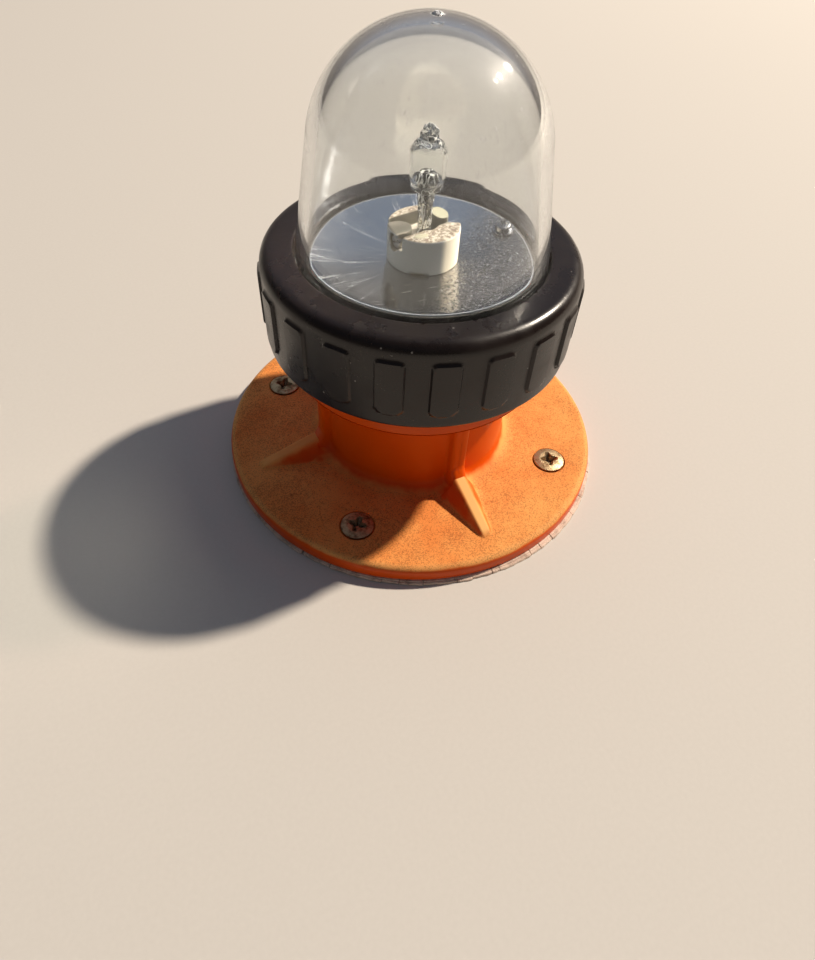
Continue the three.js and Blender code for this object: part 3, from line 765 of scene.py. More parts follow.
crest = np.clip((0.24 - np.minimum(phase, 1 - phase)) / 0.18, 0, 1)
above = ring_section[:, 1]
ends = np.clip((above - THREAD_FROM - 0.5) / 1.5, 0, 1) * np.clip((THREAD_TO - 1 - above) / 1.5, 0, 1)
in_bore = np.abs(ring_section[:, 0] - RING_BORE_R) < 0.01
proud = proud - (RIDGE_TALL * in_bore * ends)[:, None] * crest
ring_grid[:, :, 0] += proud * np.cos(ring_angles)
ring_grid[:, :, 1] += proud * np.sin(ring_angles)
ring_mesh = skin("screw_ring", ring_grid)

black, tree, spot = new_material("black_moulded_nylon")
# Scuffing in clouds of 15 mm over moulding grain of under half a millimetre. Specks of
# salt half a millimetre across lie some 5 mm apart
wear = node(tree, "TexNoise", {"Vector": spot, "Scale": 70.0, "Detail": 8.0, "Roughness": 0.62})
scuff = node(tree, "MapRange", [wear, 0.42, 0.7, 0.24, 0.46])
salt = node(tree, "TexVoronoi", {"Vector": spot, "Scale": 200.0, "Randomness": 1.0})
salt_spot = node(tree, "MapRange", [salt, 0.06, 0.035])
black_tint = node(tree, "Mix", [scuff, "#120b08", "#261914"], data_type="RGBA")
salted = node(tree, "Mix", [salt_spot, black_tint, "#8a8580"], data_type="RGBA")
mould_grain = node(tree, "TexNoise", {"Vector": spot, "Scale": 2400.0, "Detail": 3.0})
black_grain = node(tree, "Bump", {"Height": mould_grain, "Strength": 0.12, "Distance": 0.0002})
body = node(tree, "BsdfPrincipled", {
    "Base Color": salted, "Roughness": scuff, "Normal": black_grain, "IOR": 1.53,
    "Specular IOR Level": 0.36,
})
node(tree, "OutputMaterial", [body])
place(ring_mesh, black, "ring", "ring", "clamp_ring")


# Slip washer: a thin black acetal ring between the screw ring's lip and the dome's foot,
# punched from sheet, so that the ring turns without dragging the dome round.
FOOT_R = 35.8
FOOT_TOP = 64.5
DOME_BOTTOM = 62.5
WASHER_BOTTOM, WASHER_TOP = 64.8, 65.4

washer_section = rounded([
    (RING_HOLE_R, WASHER_BOTTOM, 0.1), (FOOT_R, WASHER_BOTTOM, 0.1),
    (FOOT_R, WASHER_TOP, 0.1), (RING_HOLE_R, WASHER_TOP, 0.1),
], 1.5)
# Rubbed paler in clouds of about 3 mm
acetal = clouded("black_acetal_sheet", {"Scale": 300.0, "Detail": 4.0}, ("#141414", "#2b2a29"), {
    "Roughness": 0.5, "IOR": 1.48,
})
slip_ring = skin("slip_washer_ring", turned(washer_section, around(180)))
place(slip_ring, acetal, "washer", "washer", "slip_washer")


# Dome seal: a ring of black nitrile rubber that the dome's foot presses on the cup's rim.
# Its thin inner lip stands up round the collar and the dish, so only black shows there.
SEAL_RING_TOP = 62.2
SEAL_LIP_INNER_R = 28.8
SEAL_LIP_R = 29.35
SEAL_LIP_TOP = 68.2
SEAL_LIP_FLARE_Z = 66.8

seal_section = rounded([
    (COLLAR_R + PLAY, CUP_RIM, 0.3), (FOOT_R, CUP_RIM, 0.3),
    (FOOT_R, SEAL_RING_TOP, 0.3), (SEAL_LIP_R, SEAL_RING_TOP, 0.3),
    (SEAL_LIP_R, SEAL_LIP_TOP, 0.15), (SEAL_LIP_INNER_R, SEAL_LIP_TOP, 0.15),
    (COLLAR_R + PLAY, SEAL_LIP_FLARE_Z, 0.15),
], 1.0)
rubber, tree, spot = new_material("black_nitrile_rubber")
# Dust lies in blotches of about 3 mm
bloom = node(tree, "TexNoise", {"Vector": spot, "Scale": 350.0, "Detail": 8.0, "Roughness": 0.7})
dust = node(tree, "MapRange", [bloom, 0.5, 0.72])
rubber_tint = node(tree, "Mix", [dust, "#171514", "#46403b"], data_type="RGBA")
rubber_grain = node(tree, "Bump", {"Height": bloom, "Strength": 0.3, "Distance": 0.0003})
body = node(tree, "BsdfPrincipled", {"Base Color": rubber_tint, "Roughness": 0.7, "Normal": rubber_grain})
node(tree, "OutputMaterial", [body])
place(skin("dome_seal_ring", turned(seal_section, around(180))), rubber, "base", "rubber", "dome_seal")


# Dome: one clear moulding, straight at the foot, tapered, with a flattened crown and the
# broken-off mark of the mould's gate on top. Sun and wiping have left a thin haze.
DOME_R = 32.4
DOME_WALL = 2.8
CROWN_CENTRE = 93.0
CROWN_R = 28.3
CROWN_HIGH = 26.5
# The taper runs into the crown here without a kink
CROWN_START = math.radians(8.41)
CROWN_STEPS = 56
GATE_R = 1.3
GATE_HIGH = 0.5


def crown(wide, high, turn_from, turn_to):
    """Round stretch of the dome's section."""
    t = np.linspace(turn_from, turn_to, CROWN_STEPS + 1)
    return np.stack([wide * np.cos(t), CROWN_CENTRE + high * np.sin(t)], axis=1)


gate_turn = math.acos(GATE_R / CROWN_R)
outer_crown = crown(CROWN_R, CROWN_HIGH, CROWN_START, gate_turn)
inner_crown = crown(CROWN_R - DOME_WALL, CROWN_HIGH - DOME_WALL, math.pi / 2, CROWN_START)
gate_top = CROWN_CENTRE + CROWN_HIGH + GATE_HIGH
foot_section = rounded([
    (inner_crown[-1][0], inner_crown[-1][1], 0), (DOME_R - DOME_WALL, RING_TOP, 6.0),
    (DOME_R - DOME_WALL, DOME_BOTTOM, 0.3), (FOOT_R, DOME_BOTTOM, 0.3), (FOOT_R, FOOT_TOP, 0.3),
    (DOME_R, FOOT_TOP, 0.4), (DOME_R, RING_TOP, 6.0), (outer_crown[0][0], outer_crown[0][1], 0),
], 1.0, closed=False)
gate = rounded([
    (GATE_R, gate_top - GATE_HIGH + 0.02, 0), (GATE_R - 0.35, gate_top - 0.15, 0.2), (0.5, gate_top, 0.2),
    (0, gate_top - 0.02, 0),
], 0.2, closed=False)
dome_section = np.concatenate([inner_crown[:-1], foot_section[:-1], outer_crown, gate[1:]])
dome_mesh = round_bar("clear_dome", dome_section, 168)


def lit_through(tree, shader, tint):
    """Ends a clear material, so that the key shines through it, as sunlight does."""
    shadow = node(tree, "LightPath").outputs["Is Shadow Ray"]
    let_through = node(tree, "BsdfTransparent", {"Color": tint})
    node(tree, "OutputMaterial", [node(tree, "MixShader", [shadow, shader, let_through])])


glazing, tree, spot = new_material("clear_moulded_polycarbonate")
# Flow in the mould leaves a slow ripple of some 40 mm; wiping leaves smears of 15 mm and
# scratches a few hundredths wide, drawn at a fifth of a millimetre
ripple = node(tree, "TexNoise", {"Vector": spot, "Scale": 25.0, "Detail": 1.0})
flow = node(tree, "Bump", {"Height": ripple, "Strength": 0.1, "Distance": 0.001})
clear = node(tree, "BsdfPrincipled", {
    "Base Color": "#f4f6f6", "Roughness": 0.04, "IOR": 1.5, "Transmission Weight": 1.0,
    "Normal": flow, "Coat Weight": 0.12, "Coat Roughness": 0.33,
})
film = node(tree, "BsdfPrincipled", {"Base Color": "#e9ebee", "Roughness": 0.55})
smear = node(tree, "TexNoise", {"Vector": spot, "Scale": 60.0, "Detail": 7.0, "Roughness": 0.7})
smear_mask = node(tree, "MapRange", [smear, 0.42, 0.75, 0.003, 0.035])
scratch_way = node(tree, "Mapping", {"Vector": spot, "Scale": (900.0, 900.0, 26.0)})
scratches = node(tree, "TexNoise", {"Vector": scratch_way, "Scale": 1.0, "Detail": 2.0})
scratch_mask = node(tree, "MapRange", [scratches, 0.66, 0.78, 0.0, 0.14])
wiped = node(tree, "Math", [smear_mask, scratch_mask], operation="ADD")
# The gate mark is crazed white where it broke off, in crumbs of half a millimetre
from_crown = node(tree, "VectorMath", [spot, (0.0, 0.0, 0.12)], operation="DISTANCE")
at_gate = node(tree, "MapRange", [from_crown, 0.0019, 0.0012])
crazing = node(tree, "TexNoise", {"Vector": spot, "Scale": 2200.0, "Detail": 2.0})
crazed = node(tree, "MapRange", [crazing, 0.4, 0.58])
white_gate = node(tree, "Math", [at_gate, crazed], operation="MULTIPLY")
haze = node(tree, "Math", [wiped, white_gate], operation="ADD", use_clamp=True)
hazed = node(tree, "MixShader", [haze, clear, film])
lit_through(tree, hazed, "#fbfcfc")
place(dome_mesh, glazing, "dome", "dome", "dome")


# Reflector: a shallow spun dish of aluminium that doubles the lamp. Years of wiping left
# scratches and dull patches, salt has pitted it, and its cut edge is bright.
dish_radii = np.linspace(PLATE_FLAT_R, PLATE_R - 0.35, 22)
dish_top = [(r, dish_height(r)) for r in dish_radii]
dish_under = [(r, dish_height(r) - PLATE_THICK) for r in dish_radii]
rim_z = dish_height(PLATE_R)
rolled_rim = [
    (PLATE_R - 0.08, rim_z - PLATE_THICK + 0.12), (PLATE_R, rim_z - PLATE_THICK / 2),
    (PLATE_R - 0.08, rim_z - 0.1),
]
flat_radii = np.linspace(0, PLATE_FLAT_R, 6)
dish_section = np.array(
    [(r, PLATE_TOP - PLATE_THICK) for r in flat_radii[:-1]] + dish_under + rolled_rim
    + dish_top[::-1] + [(r, PLATE_TOP) for r in flat_radii[::-1][1:]]
)
dish_mesh = carve(round_bar("reflector_dish", dish_section, 180), [pilot_hole()])

spun, tree, spot = new_material("polished_spun_aluminium")
across = node(tree, "SeparateXYZ", [spot])
# Dull clouds about 8 mm wide over a mirror finish
dulled = node(tree, "TexNoise", {"Vector": spot, "Scale": 120.0, "Detail": 8.0, "Roughness": 0.7})
dish_rough = node(tree, "MapRange", [dulled, 0.36, 0.68, 0.03, 0.16])
# Wiped from the holder outwards: streaks of whitish oxide, strongest behind and at left.
# The turn puts the seam of the angles at the front right, under the salt
outward_way = node(tree, "Mapping", {"Vector": spot, "Rotation": (0.0, 0.0, math.radians(-130))})
outward = node(tree, "SeparateXYZ", [outward_way])
angle = node(tree, "Math", [outward.outputs["Y"], outward.outputs["X"]], operation="ARCTAN2")
distance = node(tree, "VectorMath", [spot], operation="LENGTH")
angle_scaled = node(tree, "Math", [angle, 8.0], operation="MULTIPLY")
distance_scaled = node(tree, "Math", [distance, 75.0], operation="MULTIPLY")
streak_at = node(tree, "CombineXYZ", {"X": angle_scaled, "Y": distance_scaled})
streaks = node(tree, "TexNoise", {
    "Vector": streak_at, "Scale": 1.0, "Detail": 9.0, "Roughness": 0.74, "Distortion": 0.7,
})
streak_mask = node(tree, "MapRange", [streaks, 0.5, 0.8])
behind = node(tree, "MapRange", [
    outward.outputs["X"], -0.012, 0.014, 0.2, 0.8,
], interpolation_type="SMOOTHSTEP")
oxide = node(tree, "Math", [streak_mask, behind], operation="MULTIPLY")
# Wiping scratches a few hundredths wide, drawn at a fifth of a millimetre
scratch_fields = []
for turn, fineness in ((0.5, 3200.0), (1.9, 2600.0), (1.1, 3000.0)):
    way = node(tree, "Mapping", {
        "Vector": spot, "Rotation": (0.0, 0.0, turn), "Scale": (90.0, fineness, 90.0),
    })
    scratch_fields.append(node(tree, "TexNoise", {"Vector": way, "Scale": 1.0, "Detail": 3.0}))
two_ways = node(tree, "Math", [scratch_fields[0], scratch_fields[1]], operation="MAXIMUM")
crossing = node(tree, "Math", [two_ways, scratch_fields[2]], operation="MAXIMUM")
scratch_line = node(tree, "MapRange", [crossing, 0.67, 0.75, 0.0, 0.45])
# Salt pits of half a millimetre, drawn at one, in patches that lie thick at the front right
pits = node(tree, "TexNoise", {"Vector": spot, "Scale": 1000.0, "Detail": 4.0, "Roughness": 0.75})
front_right = node(tree, "Math", [across.outputs["X"], across.outputs["Y"]], operation="SUBTRACT")
salt_side = node(tree, "MapRange", [
    front_right, 0.002, 0.03, 0.03, 1.0,
], interpolation_type="SMOOTHSTEP")
salt_patch = node(tree, "MapRange", [dulled, 0.38, 0.54, 0.3, 1.0])
salty = node(tree, "Math", [salt_side, salt_patch], operation="MULTIPLY")
pit_height = node(tree, "MapRange", [pits, 0.52, 0.68])
pit_relief = node(tree, "Math", [pit_height, salty], operation="MULTIPLY")
# Painted reflection: the mirror is tinted sky blue behind and warm at the front
painted_reflection_front = node(tree, "MapRange", [across.outputs["Y"], 0.012, -0.01], interpolation_type="SMOOTHSTEP")
painted_reflection_tint = node(tree, "Mix", [painted_reflection_front, "#d2d7df", "#c4bfb8"], data_type="RGBA")
mirror_tint = node(tree, "Mix", [salt_side, painted_reflection_tint, "#9a999b"], data_type="RGBA")
pitted = node(tree, "Mix", [pit_relief, mirror_tint, "#5f5e5e"], data_type="RGBA")
# Dried salt, white grains of about half a millimetre among the pits
grains = node(tree, "TexNoise", {"Vector": spot, "Scale": 1700.0, "Detail": 5.0, "Roughness": 0.8})
grain_mask = node(tree, "MapRange", [grains, 0.57, 0.625])
salt_grains = node(tree, "Math", [grain_mask, salty], operation="MULTIPLY")
lines = node(tree, "Math", [scratch_line, oxide], operation="MAXIMUM")
marks = node(tree, "Math", [lines, salt_grains], operation="MAXIMUM")
roughness = node(tree, "Math", [dish_rough, marks], operation="MAXIMUM")
pit_bump = node(tree, "Bump", {"Height": pit_relief, "Strength": 0.6, "Distance": 0.00035})
dish_bump = node(tree, "Bump", {
    "Height": crossing, "Strength": 0.25, "Distance": 0.0001, "Normal": pit_bump,
})
mirror = node(tree, "BsdfPrincipled", {
    "Base Color": pitted, "Metallic": 1.0, "Roughness": roughness, "Normal": dish_bump,
})
bloom = node(tree, "BsdfPrincipled", {"Base Color": "#b9c0cc", "Roughness": 0.8})
mark_share = node(tree, "Math", [marks, 0.4], operation="MULTIPLY")
# The cut edge was brushed with emery, so a thin pale line runs round it
cut_edge = node(tree, "MapRange", [axis_distance(tree, spot), 0.02815, 0.02832, 0.0, 0.5])
bloom_share = node(tree, "Math", [mark_share, cut_edge], operation="MAXIMUM")
body = node(tree, "MixShader", [bloom_share, mirror, bloom])
node(tree, "OutputMaterial", [body])
place(dish_mesh, spun, "base", "reflector", "reflector_plate")


# Reflector screw: a small stainless pan-head screw on a flat washer, square to the slope
# of the dish, screwed into the collar below it.
PLATE_HEAD_R = 2.4
PLATE_HEAD_HIGH = 1.5
PLATE_WASHER_R = 3.2
PLATE_WASHER_FROM, PLATE_WASHER_TO = 0.1, 0.6

head_top = PLATE_WASHER_TO + PLATE_HEAD_HIGH
pan_screw = round_bar("pan_head_screw", rounded([
    (0, -PLATE_SCREW_DEEP, 0), (0.5, -PLATE_SCREW_DEEP, 0.1), (PLATE_SCREW_R, -PLATE_SCREW_DEEP + 1.2, 0.2),
    (PLATE_SCREW_R, PLATE_WASHER_TO + 0.02, 0.05), (PLATE_HEAD_R, PLATE_WASHER_TO + 0.02, 0.1),
    (PLATE_HEAD_R - 0.1, head_top - 0.3, 0.7), (0.8, head_top, 1.0), (0, head_top, 0),
], 0.3, closed=False), 48)
pan_screw = carve(pan_screw, [moved(cross_recess(head_top, 1.0, 0.5), turn=0.6)])
flat_washer = skin("flat_washer", turned(rounded([
    (PLATE_SCREW_R + 0.2, PLATE_WASHER_FROM, 0.06), (PLATE_WASHER_R, PLATE_WASHER_FROM, 0.12),
    (PLATE_WASHER_R, PLATE_WASHER_TO, 0.12), (PLATE_SCREW_R + 0.2, PLATE_WASHER_TO, 0.06),
], 0.6), around(64)))

# Bright and dull by turns, in clouds of under a millimetre
passive = clouded("bright_stainless_steel", {"Scale": 1500.0, "Detail": 5.0}, ("#c3c5c9", "#84868b"), {
    "Metallic": 1.0,
}, rough=(0.14, 0.35))
place(on_dish(pan_screw), passive, "base", "steel", "plate_screw")
place(on_dish(flat_washer), passive, "base", "steel", "plate_washer")


# Lamp holder: a pressed steatite block on the dish. A slot runs through it from side to
# side, with a tongue that holds the terminal screw on the left, a post on the right and
# a round well for the lamp's foot. Heat and salt have stained its upper faces.
HOLDER_R = 9.2
HOLDER_TOP = 75.2
SLOT_FLOOR = 71.6
SLOT_OUTLINE = ((-10.5, -4.9), (5.8, -1.6), (10.5, -3.7), (10.5, 7.7), (-10.5, 4.7))
TONGUE_HALF = 3.2
TONGUE_Y = 0.35
TONGUE_END = -3.5
POST_AT = (5.3, 2.0)
POST_HALF = (2.0, 3.0)
POST_TOP = 76.0
WELL_R = 3.5
BOSS_AT = (-3.6, -5.6)
BOSS_HALF = (1.9, 0.95)
BOSS_HIGH = 0.35
NICK_WIDE, NICK_HIGH, NICK_DEEP = 5.0, 0.7, 0.6
NICK_TURN = math.radians(-122)
TERMINAL_TURN = math.radians(-171.5)
TERMINAL_Z = 72.6
TERMINAL_R = 1.9
TERMINAL_SHANK_R = 1.1
TERMINAL_END = 3.8
TERMINAL_SEAT = 5.0
TERMINAL_HEAD = 3.1
PIN_R = 0.5
PIN_SPACING = 4.0
PIN_BOTTOM = 66.8
LAMP_TURN = math.radians(-118)
PRESS_GRAIN = 0.0002


def slab(name, outline, bottom, top):
    """A straight-sided solid of an outline of (x, y) points."""
    grid = np.array([[(x, y, z) for x, y in outline] for z in (bottom, top)])
    return skin(name, grid, loop=False, caps=True)


def oval(centre, half, count=40):
    return [(centre[0] + half[0] * math.cos(t), centre[1] + half[1] * math.sin(t)) for t in around(count)]


def straight_rod(name, radius, bottom, top, count=40):
    return slab(name, oval((0, 0), (radius, radius), count), bottom, top)


def along_terminal(mesh):
    """Lays a mesh that stands at the origin along the terminal screw's axis."""
    lie = Matrix.Rotation(math.pi / 2, 4, "Y")
    out = Matrix.Rotation(TERMINAL_TURN, 4, "Z")
    mesh.transform(Matrix.Translation((0, 0, TERMINAL_Z * MM)) @ out @ lie)
    return mesh


tongue_round = [
    (TONGUE_END - TONGUE_HALF + TONGUE_HALF * math.cos(t), TONGUE_Y + TONGUE_HALF * math.sin(t))
    for t in np.linspace(-math.pi / 2, math.pi / 2, 24)
]
tongue_back = HOLDER_R + 2
tongue = slab("tongue", [(-tongue_back, TONGUE_Y - TONGUE_HALF)] + tongue_round
              + [(-tongue_back, TONGUE_Y + TONGUE_HALF)], SLOT_FLOOR - 1, HOLDER_TOP + 2)
slot = carve(slab("slot", SLOT_OUTLINE, SLOT_FLOOR, HOLDER_TOP + 1), [tongue])
screw_hole = along_terminal(round_bar("screw_hole", rounded([
    (0, TERMINAL_END, 0), (TERMINAL_SHANK_R + PLAY, TERMINAL_END, 0),
    (TERMINAL_SHANK_R + PLAY, TERMINAL_SEAT, 0), (TERMINAL_R + PLAY, TERMINAL_SEAT, 0),
    (TERMINAL_R + PLAY, 12, 0), (0, 12, 0),
], 4, closed=False), 40))
nick = moved(slab("nick", [
    (HOLDER_R - NICK_DEEP, -NICK_WIDE / 2), (HOLDER_R + 1, -NICK_WIDE / 2),
    (HOLDER_R + 1, NICK_WIDE / 2), (HOLDER_R - NICK_DEEP, NICK_WIDE / 2),
], PLATE_TOP - 1, PLATE_TOP + NICK_HIGH), turn=NICK_TURN)
pin_holes = []
for side in (-1, 1):
    hole = straight_rod("pin_hole", PIN_R + PLAY, PIN_BOTTOM - PLAY, SLOT_FLOOR + 1, 24)
    pin_holes.append(moved(moved(hole, x=side * PIN_SPACING / 2), turn=LAMP_TURN))
holder_body = round_bar("lamp_holder_block", rounded([
    (0, PLATE_TOP, 0), (HOLDER_R, PLATE_TOP, 0.3), (HOLDER_R, HOLDER_TOP, 0.45), (0, HOLDER_TOP, 0),
], 0.8, closed=False), 120)
holder_body = carve(holder_body, [slot, screw_hole, nick])
post = slab("post", oval(POST_AT, POST_HALF), SLOT_FLOOR - 1, POST_TOP)
boss = slab("boss", oval(BOSS_AT, BOSS_HALF), HOLDER_TOP - 1, HOLDER_TOP + BOSS_HIGH)
holder_body = carve(holder_body, [post, boss], "UNION")
holder_body = carve(holder_body, [straight_rod("well", WELL_R, SLOT_FLOOR, HOLDER_TOP + 2)] + pin_holes)


def pressed(mesh, grain):
    """Rounds every edge by about the grain, as a pressed and fired block has them."""
    target = add_object("press_target", mesh)
    remesh = target.modifiers.new("grain", "REMESH")
    remesh.mode = "VOXEL"
    remesh.voxel_size = grain
    soften = target.modifiers.new("soften", "SMOOTH")
    soften.factor = 0.5
    soften.iterations = 3
    return settled(target)


holder_body = pressed(holder_body, PRESS_GRAIN)

steatite, tree, spot = new_material("pressed_steatite")
facing_up = node(tree, "SeparateXYZ", [node(tree, "NewGeometry").outputs["Normal"]])
height = node(tree, "SeparateXYZ", [spot])
# Rust-brown stain in blotches of a millimetre on the two lobes' upper faces, not on the
# tongue between them nor on the boss and the post, which stand higher
blotch = node(tree, "TexNoise", {"Vector": spot, "Scale": 850.0, "Detail": 8.0, "Roughness": 0.78})
on_top = node(tree, "MapRange", [facing_up.outputs["Z"], 0.5, 0.9])
near_top = node(tree, "MapRange", [height.outputs["Z"], 0.0738, 0.0747])
below_boss = node(tree, "MapRange", [height.outputs["Z"], 0.07545, 0.07532])
from_middle = node(tree, "Math", [height.outputs["Y"], 0.0009], operation="SUBTRACT")
sideways = node(tree, "Math", [from_middle], operation="ABSOLUTE")
on_lobes = node(tree, "MapRange", [sideways, 0.0029, 0.0035])
stain_spread = node(tree, "MapRange", [blotch, 0.45, 0.53, 0.05, 0.9])
stained = on_top
for share in (near_top, below_boss, on_lobes, stain_spread):
    stained = node(tree, "Math", [stained, share], operation="MULTIPLY")
# Painted light and shade: side walls facing the key are painted warm white and the others
# grey, and the inner walls of the slot and the well darker still as painted shade. The
# pressed clay's grain is a fifth of a millimetre
painted_light_side = node(tree, "MapRange", [facing_up.outputs["X"], 0.0, 0.22], interpolation_type="SMOOTHSTEP")
clay_painted_lit_and_shaded = node(tree, "Mix", [painted_light_side, "#8a9094", "#fdf6e3"], data_type="RGBA")
within = node(tree, "MapRange", [axis_distance(tree, spot), 0.009, 0.0086])
clay_side_painted_shade = node(tree, "Mix", [within, clay_painted_lit_and_shaded, "#7f7b6e"], data_type="RGBA")
# Painted shadow: the tongue between the lobes is painted darker, as the post's shadow
clay_painted_tongue_shadow = node(tree, "Mix", [on_lobes, "#77736a", "#c9c3b6"], data_type="RGBA")
clay_top = node(tree, "Mix", [below_boss, "#a9a792", clay_painted_tongue_shadow], data_type="RGBA")
clay = node(tree, "Mix", [on_top, clay_side_painted_shade, clay_top], data_type="RGBA")
clay_tint = node(tree, "Mix", [stained, clay, "#5f4a38"], data_type="RGBA")
clay_grain = node(tree, "TexNoise", {"Vector": spot, "Scale": 5200.0, "Detail": 3.0})
clay_bump = node(tree, "Bump", {"Height": clay_grain, "Strength": 0.3, "Distance": 0.0001})
body = node(tree, "BsdfPrincipled", {"Base Color": clay_tint, "Roughness": 0.62, "Normal": clay_bump})
node(tree, "OutputMaterial", [body])
place(holder_body, steatite, "base", "ceramic", "lamp_holder")


# Terminal screw: a plated cheese-head screw in the end of the holder's tongue, turned
# from brass bar, slotted, and still bright because it sits in its hole.
DRIVER_SLOT_WIDE = 0.55
DRIVER_SLOT_DEEP = 0.7
DRIVER_SLOT_TURN = 0.5
seat = TERMINAL_SEAT + PLAY
head_end = seat + TERMINAL_HEAD
terminal = round_bar("terminal_screw", rounded([
    (0, TERMINAL_END + PLAY, 0), (TERMINAL_SHANK_R, TERMINAL_END + PLAY, 0.1),
    (TERMINAL_SHANK_R, seat, 0.05), (TERMINAL_R, seat, 0.1),
    (TERMINAL_R, head_end, 0.7), (0, head_end, 0),
], 0.5, closed=False), 48)
driver_slot = slab("driver_slot", [
    (-DRIVER_SLOT_WIDE / 2, -3), (DRIVER_SLOT_WIDE / 2, -3),
    (DRIVER_SLOT_WIDE / 2, 3), (-DRIVER_SLOT_WIDE / 2, 3),
], head_end - DRIVER_SLOT_DEEP, head_end + 1)
terminal = carve(terminal, [moved(driver_slot, turn=DRIVER_SLOT_TURN)])

# Tool marks of half a millimetre show through the plating
plated = clouded("nickel_plated_brass", {
    "Scale": 1800.0, "Detail": 5.0, "Roughness": 0.6,
}, ("#e0ddd6", "#a9a296"), {"Metallic": 1.0}, rough=(0.2, 0.42))
place(along_terminal(terminal), plated, "base", "steel", "holder_terminal_screw")


# Lamp capsule: blown quartz with a drawn-off tip of solid glass. Quartz is clear, so what
# shows is its edges, and the glints in the flame-worked tip and neck.
LAMP_NECK_R = 2.1
LAMP_NECK_Z = 81.2
BULB_R, BULB_INNER_R = 4.4, 3.6
STEM_BORE_R = 1.4
LAMP_CAVITY_TOP = 94.0
LAMP_TIP_Z = 98.4

capsule_section = rounded([
    (0, LAMP_CAVITY_TOP, 0), (2.4, 93.8, 1.0), (BULB_INNER_R, 92.6, 1.0), (BULB_INNER_R, 85.7, 1.8),
    (STEM_BORE_R, 83.9, 0.5), (STEM_BORE_R, LAMP_NECK_Z, 0.1), (LAMP_NECK_R, LAMP_NECK_Z, 0.12),
    (2.2, 83.2, 0.6), (BULB_R, 84.8, 2.0), (BULB_R, 92.9, 1.6), (3.4, 94.4, 1.4), (2.2, 95.4, 1.2),
    (1.95, 97.0, 1.5), (1.2, LAMP_TIP_Z - 0.05, 0.9), (0, LAMP_TIP_Z, 0),
], 0.22, closed=False)
capsule_mesh = round_bar("lamp_capsule_glass", capsule_section, 96)
# The tip was drawn off by hand in a flame, so it is lumpy
lumps = np.empty(len(capsule_mesh.vertices) * 3)
capsule_mesh.vertices.foreach_get("co", lumps)
lumps = lumps.reshape(-1, 3) / MM
turn_about = np.arctan2(lumps[:, 1], lumps[:, 0])
from_axis = np.hypot(lumps[:, 0], lumps[:, 1])
outside = np.clip((lumps[:, 2] - LAMP_CAVITY_TOP) / 1.2, 0, 1)
wave = 0.09 * np.sin(3 * turn_about + 2.1 * lumps[:, 2]) + 0.06 * np.sin(5 * turn_about - 3.7 * lumps[:, 2])
swell = 1 + wave * outside * np.clip(from_axis, 0, 1)
lumps[:, 0] *= swell
lumps[:, 1] *= swell
capsule_mesh.vertices.foreach_set("co", (lumps * MM).ravel())

quartz, tree, spot = new_material("blown_quartz")
height = node(tree, "SeparateXYZ", [spot])
# Flame-worked glass: folds of one to two millimetres at the tip and below the bulb
folds = node(tree, "TexNoise", {"Vector": spot, "Scale": 600.0, "Detail": 0.0, "Distortion": 1.0})
at_tip = node(tree, "MapRange", [height.outputs["Z"], 0.0928, 0.0942])
low_down = node(tree, "MapRange", [height.outputs["Z"], 0.0894, 0.0889])
within = node(tree, "MapRange", [axis_distance(tree, spot), 0.00345, 0.0032])
at_foot = node(tree, "Math", [low_down, within], operation="MULTIPLY")
worked = node(tree, "Math", [at_tip, at_foot], operation="MAXIMUM")
fold_height = node(tree, "Math", [folds, worked], operation="MULTIPLY")
fold_bump = node(tree, "Bump", {"Height": fold_height, "Strength": 0.75, "Distance": 0.0007})
glass = node(tree, "BsdfPrincipled", {
    "Base Color": "#fdfefd", "Roughness": 0.0, "IOR": 1.42, "Transmission Weight": 1.0,
    "Normal": fold_bump,
})
# White and dark lines of a tenth of a millimetre, drawn twice as wide, run through the worked
# glass: painted glints and painted dark edges, as the clear glass shows them
down_foot = node(tree, "Mapping", {"Vector": spot, "Scale": (1.0, 1.0, 0.22)})
round_tip = node(tree, "Mapping", {"Vector": spot, "Scale": (0.4, 0.4, 1.2)})
swirl_way = node(tree, "Mix", [at_tip, down_foot, round_tip], data_type="VECTOR")
swirls = node(tree, "TexNoise", {"Vector": swirl_way, "Scale": 520.0, "Detail": 0.0, "Distortion": 1.1})
painted_glints_and_edges = []
for level in (0.5, 0.4):
    off_seam = node(tree, "Math", [swirls, level], operation="SUBTRACT")
    off_far = node(tree, "Math", [off_seam], operation="ABSOLUTE")
    seam = node(tree, "MapRange", [off_far, 0.036, 0.016, 0.0, 0.75])
    painted_glints_and_edges.append(node(tree, "Math", [seam, worked], operation="MULTIPLY"))
# Painted glints in white, painted dark edges and painted shade in near black
painted_glint_white = node(tree, "BsdfPrincipled", {"Base Color": "#fcfdfd", "Roughness": 0.3})
soot_and_painted_shade = node(tree, "BsdfPrincipled", {"Base Color": "#26262a", "Roughness": 0.25})
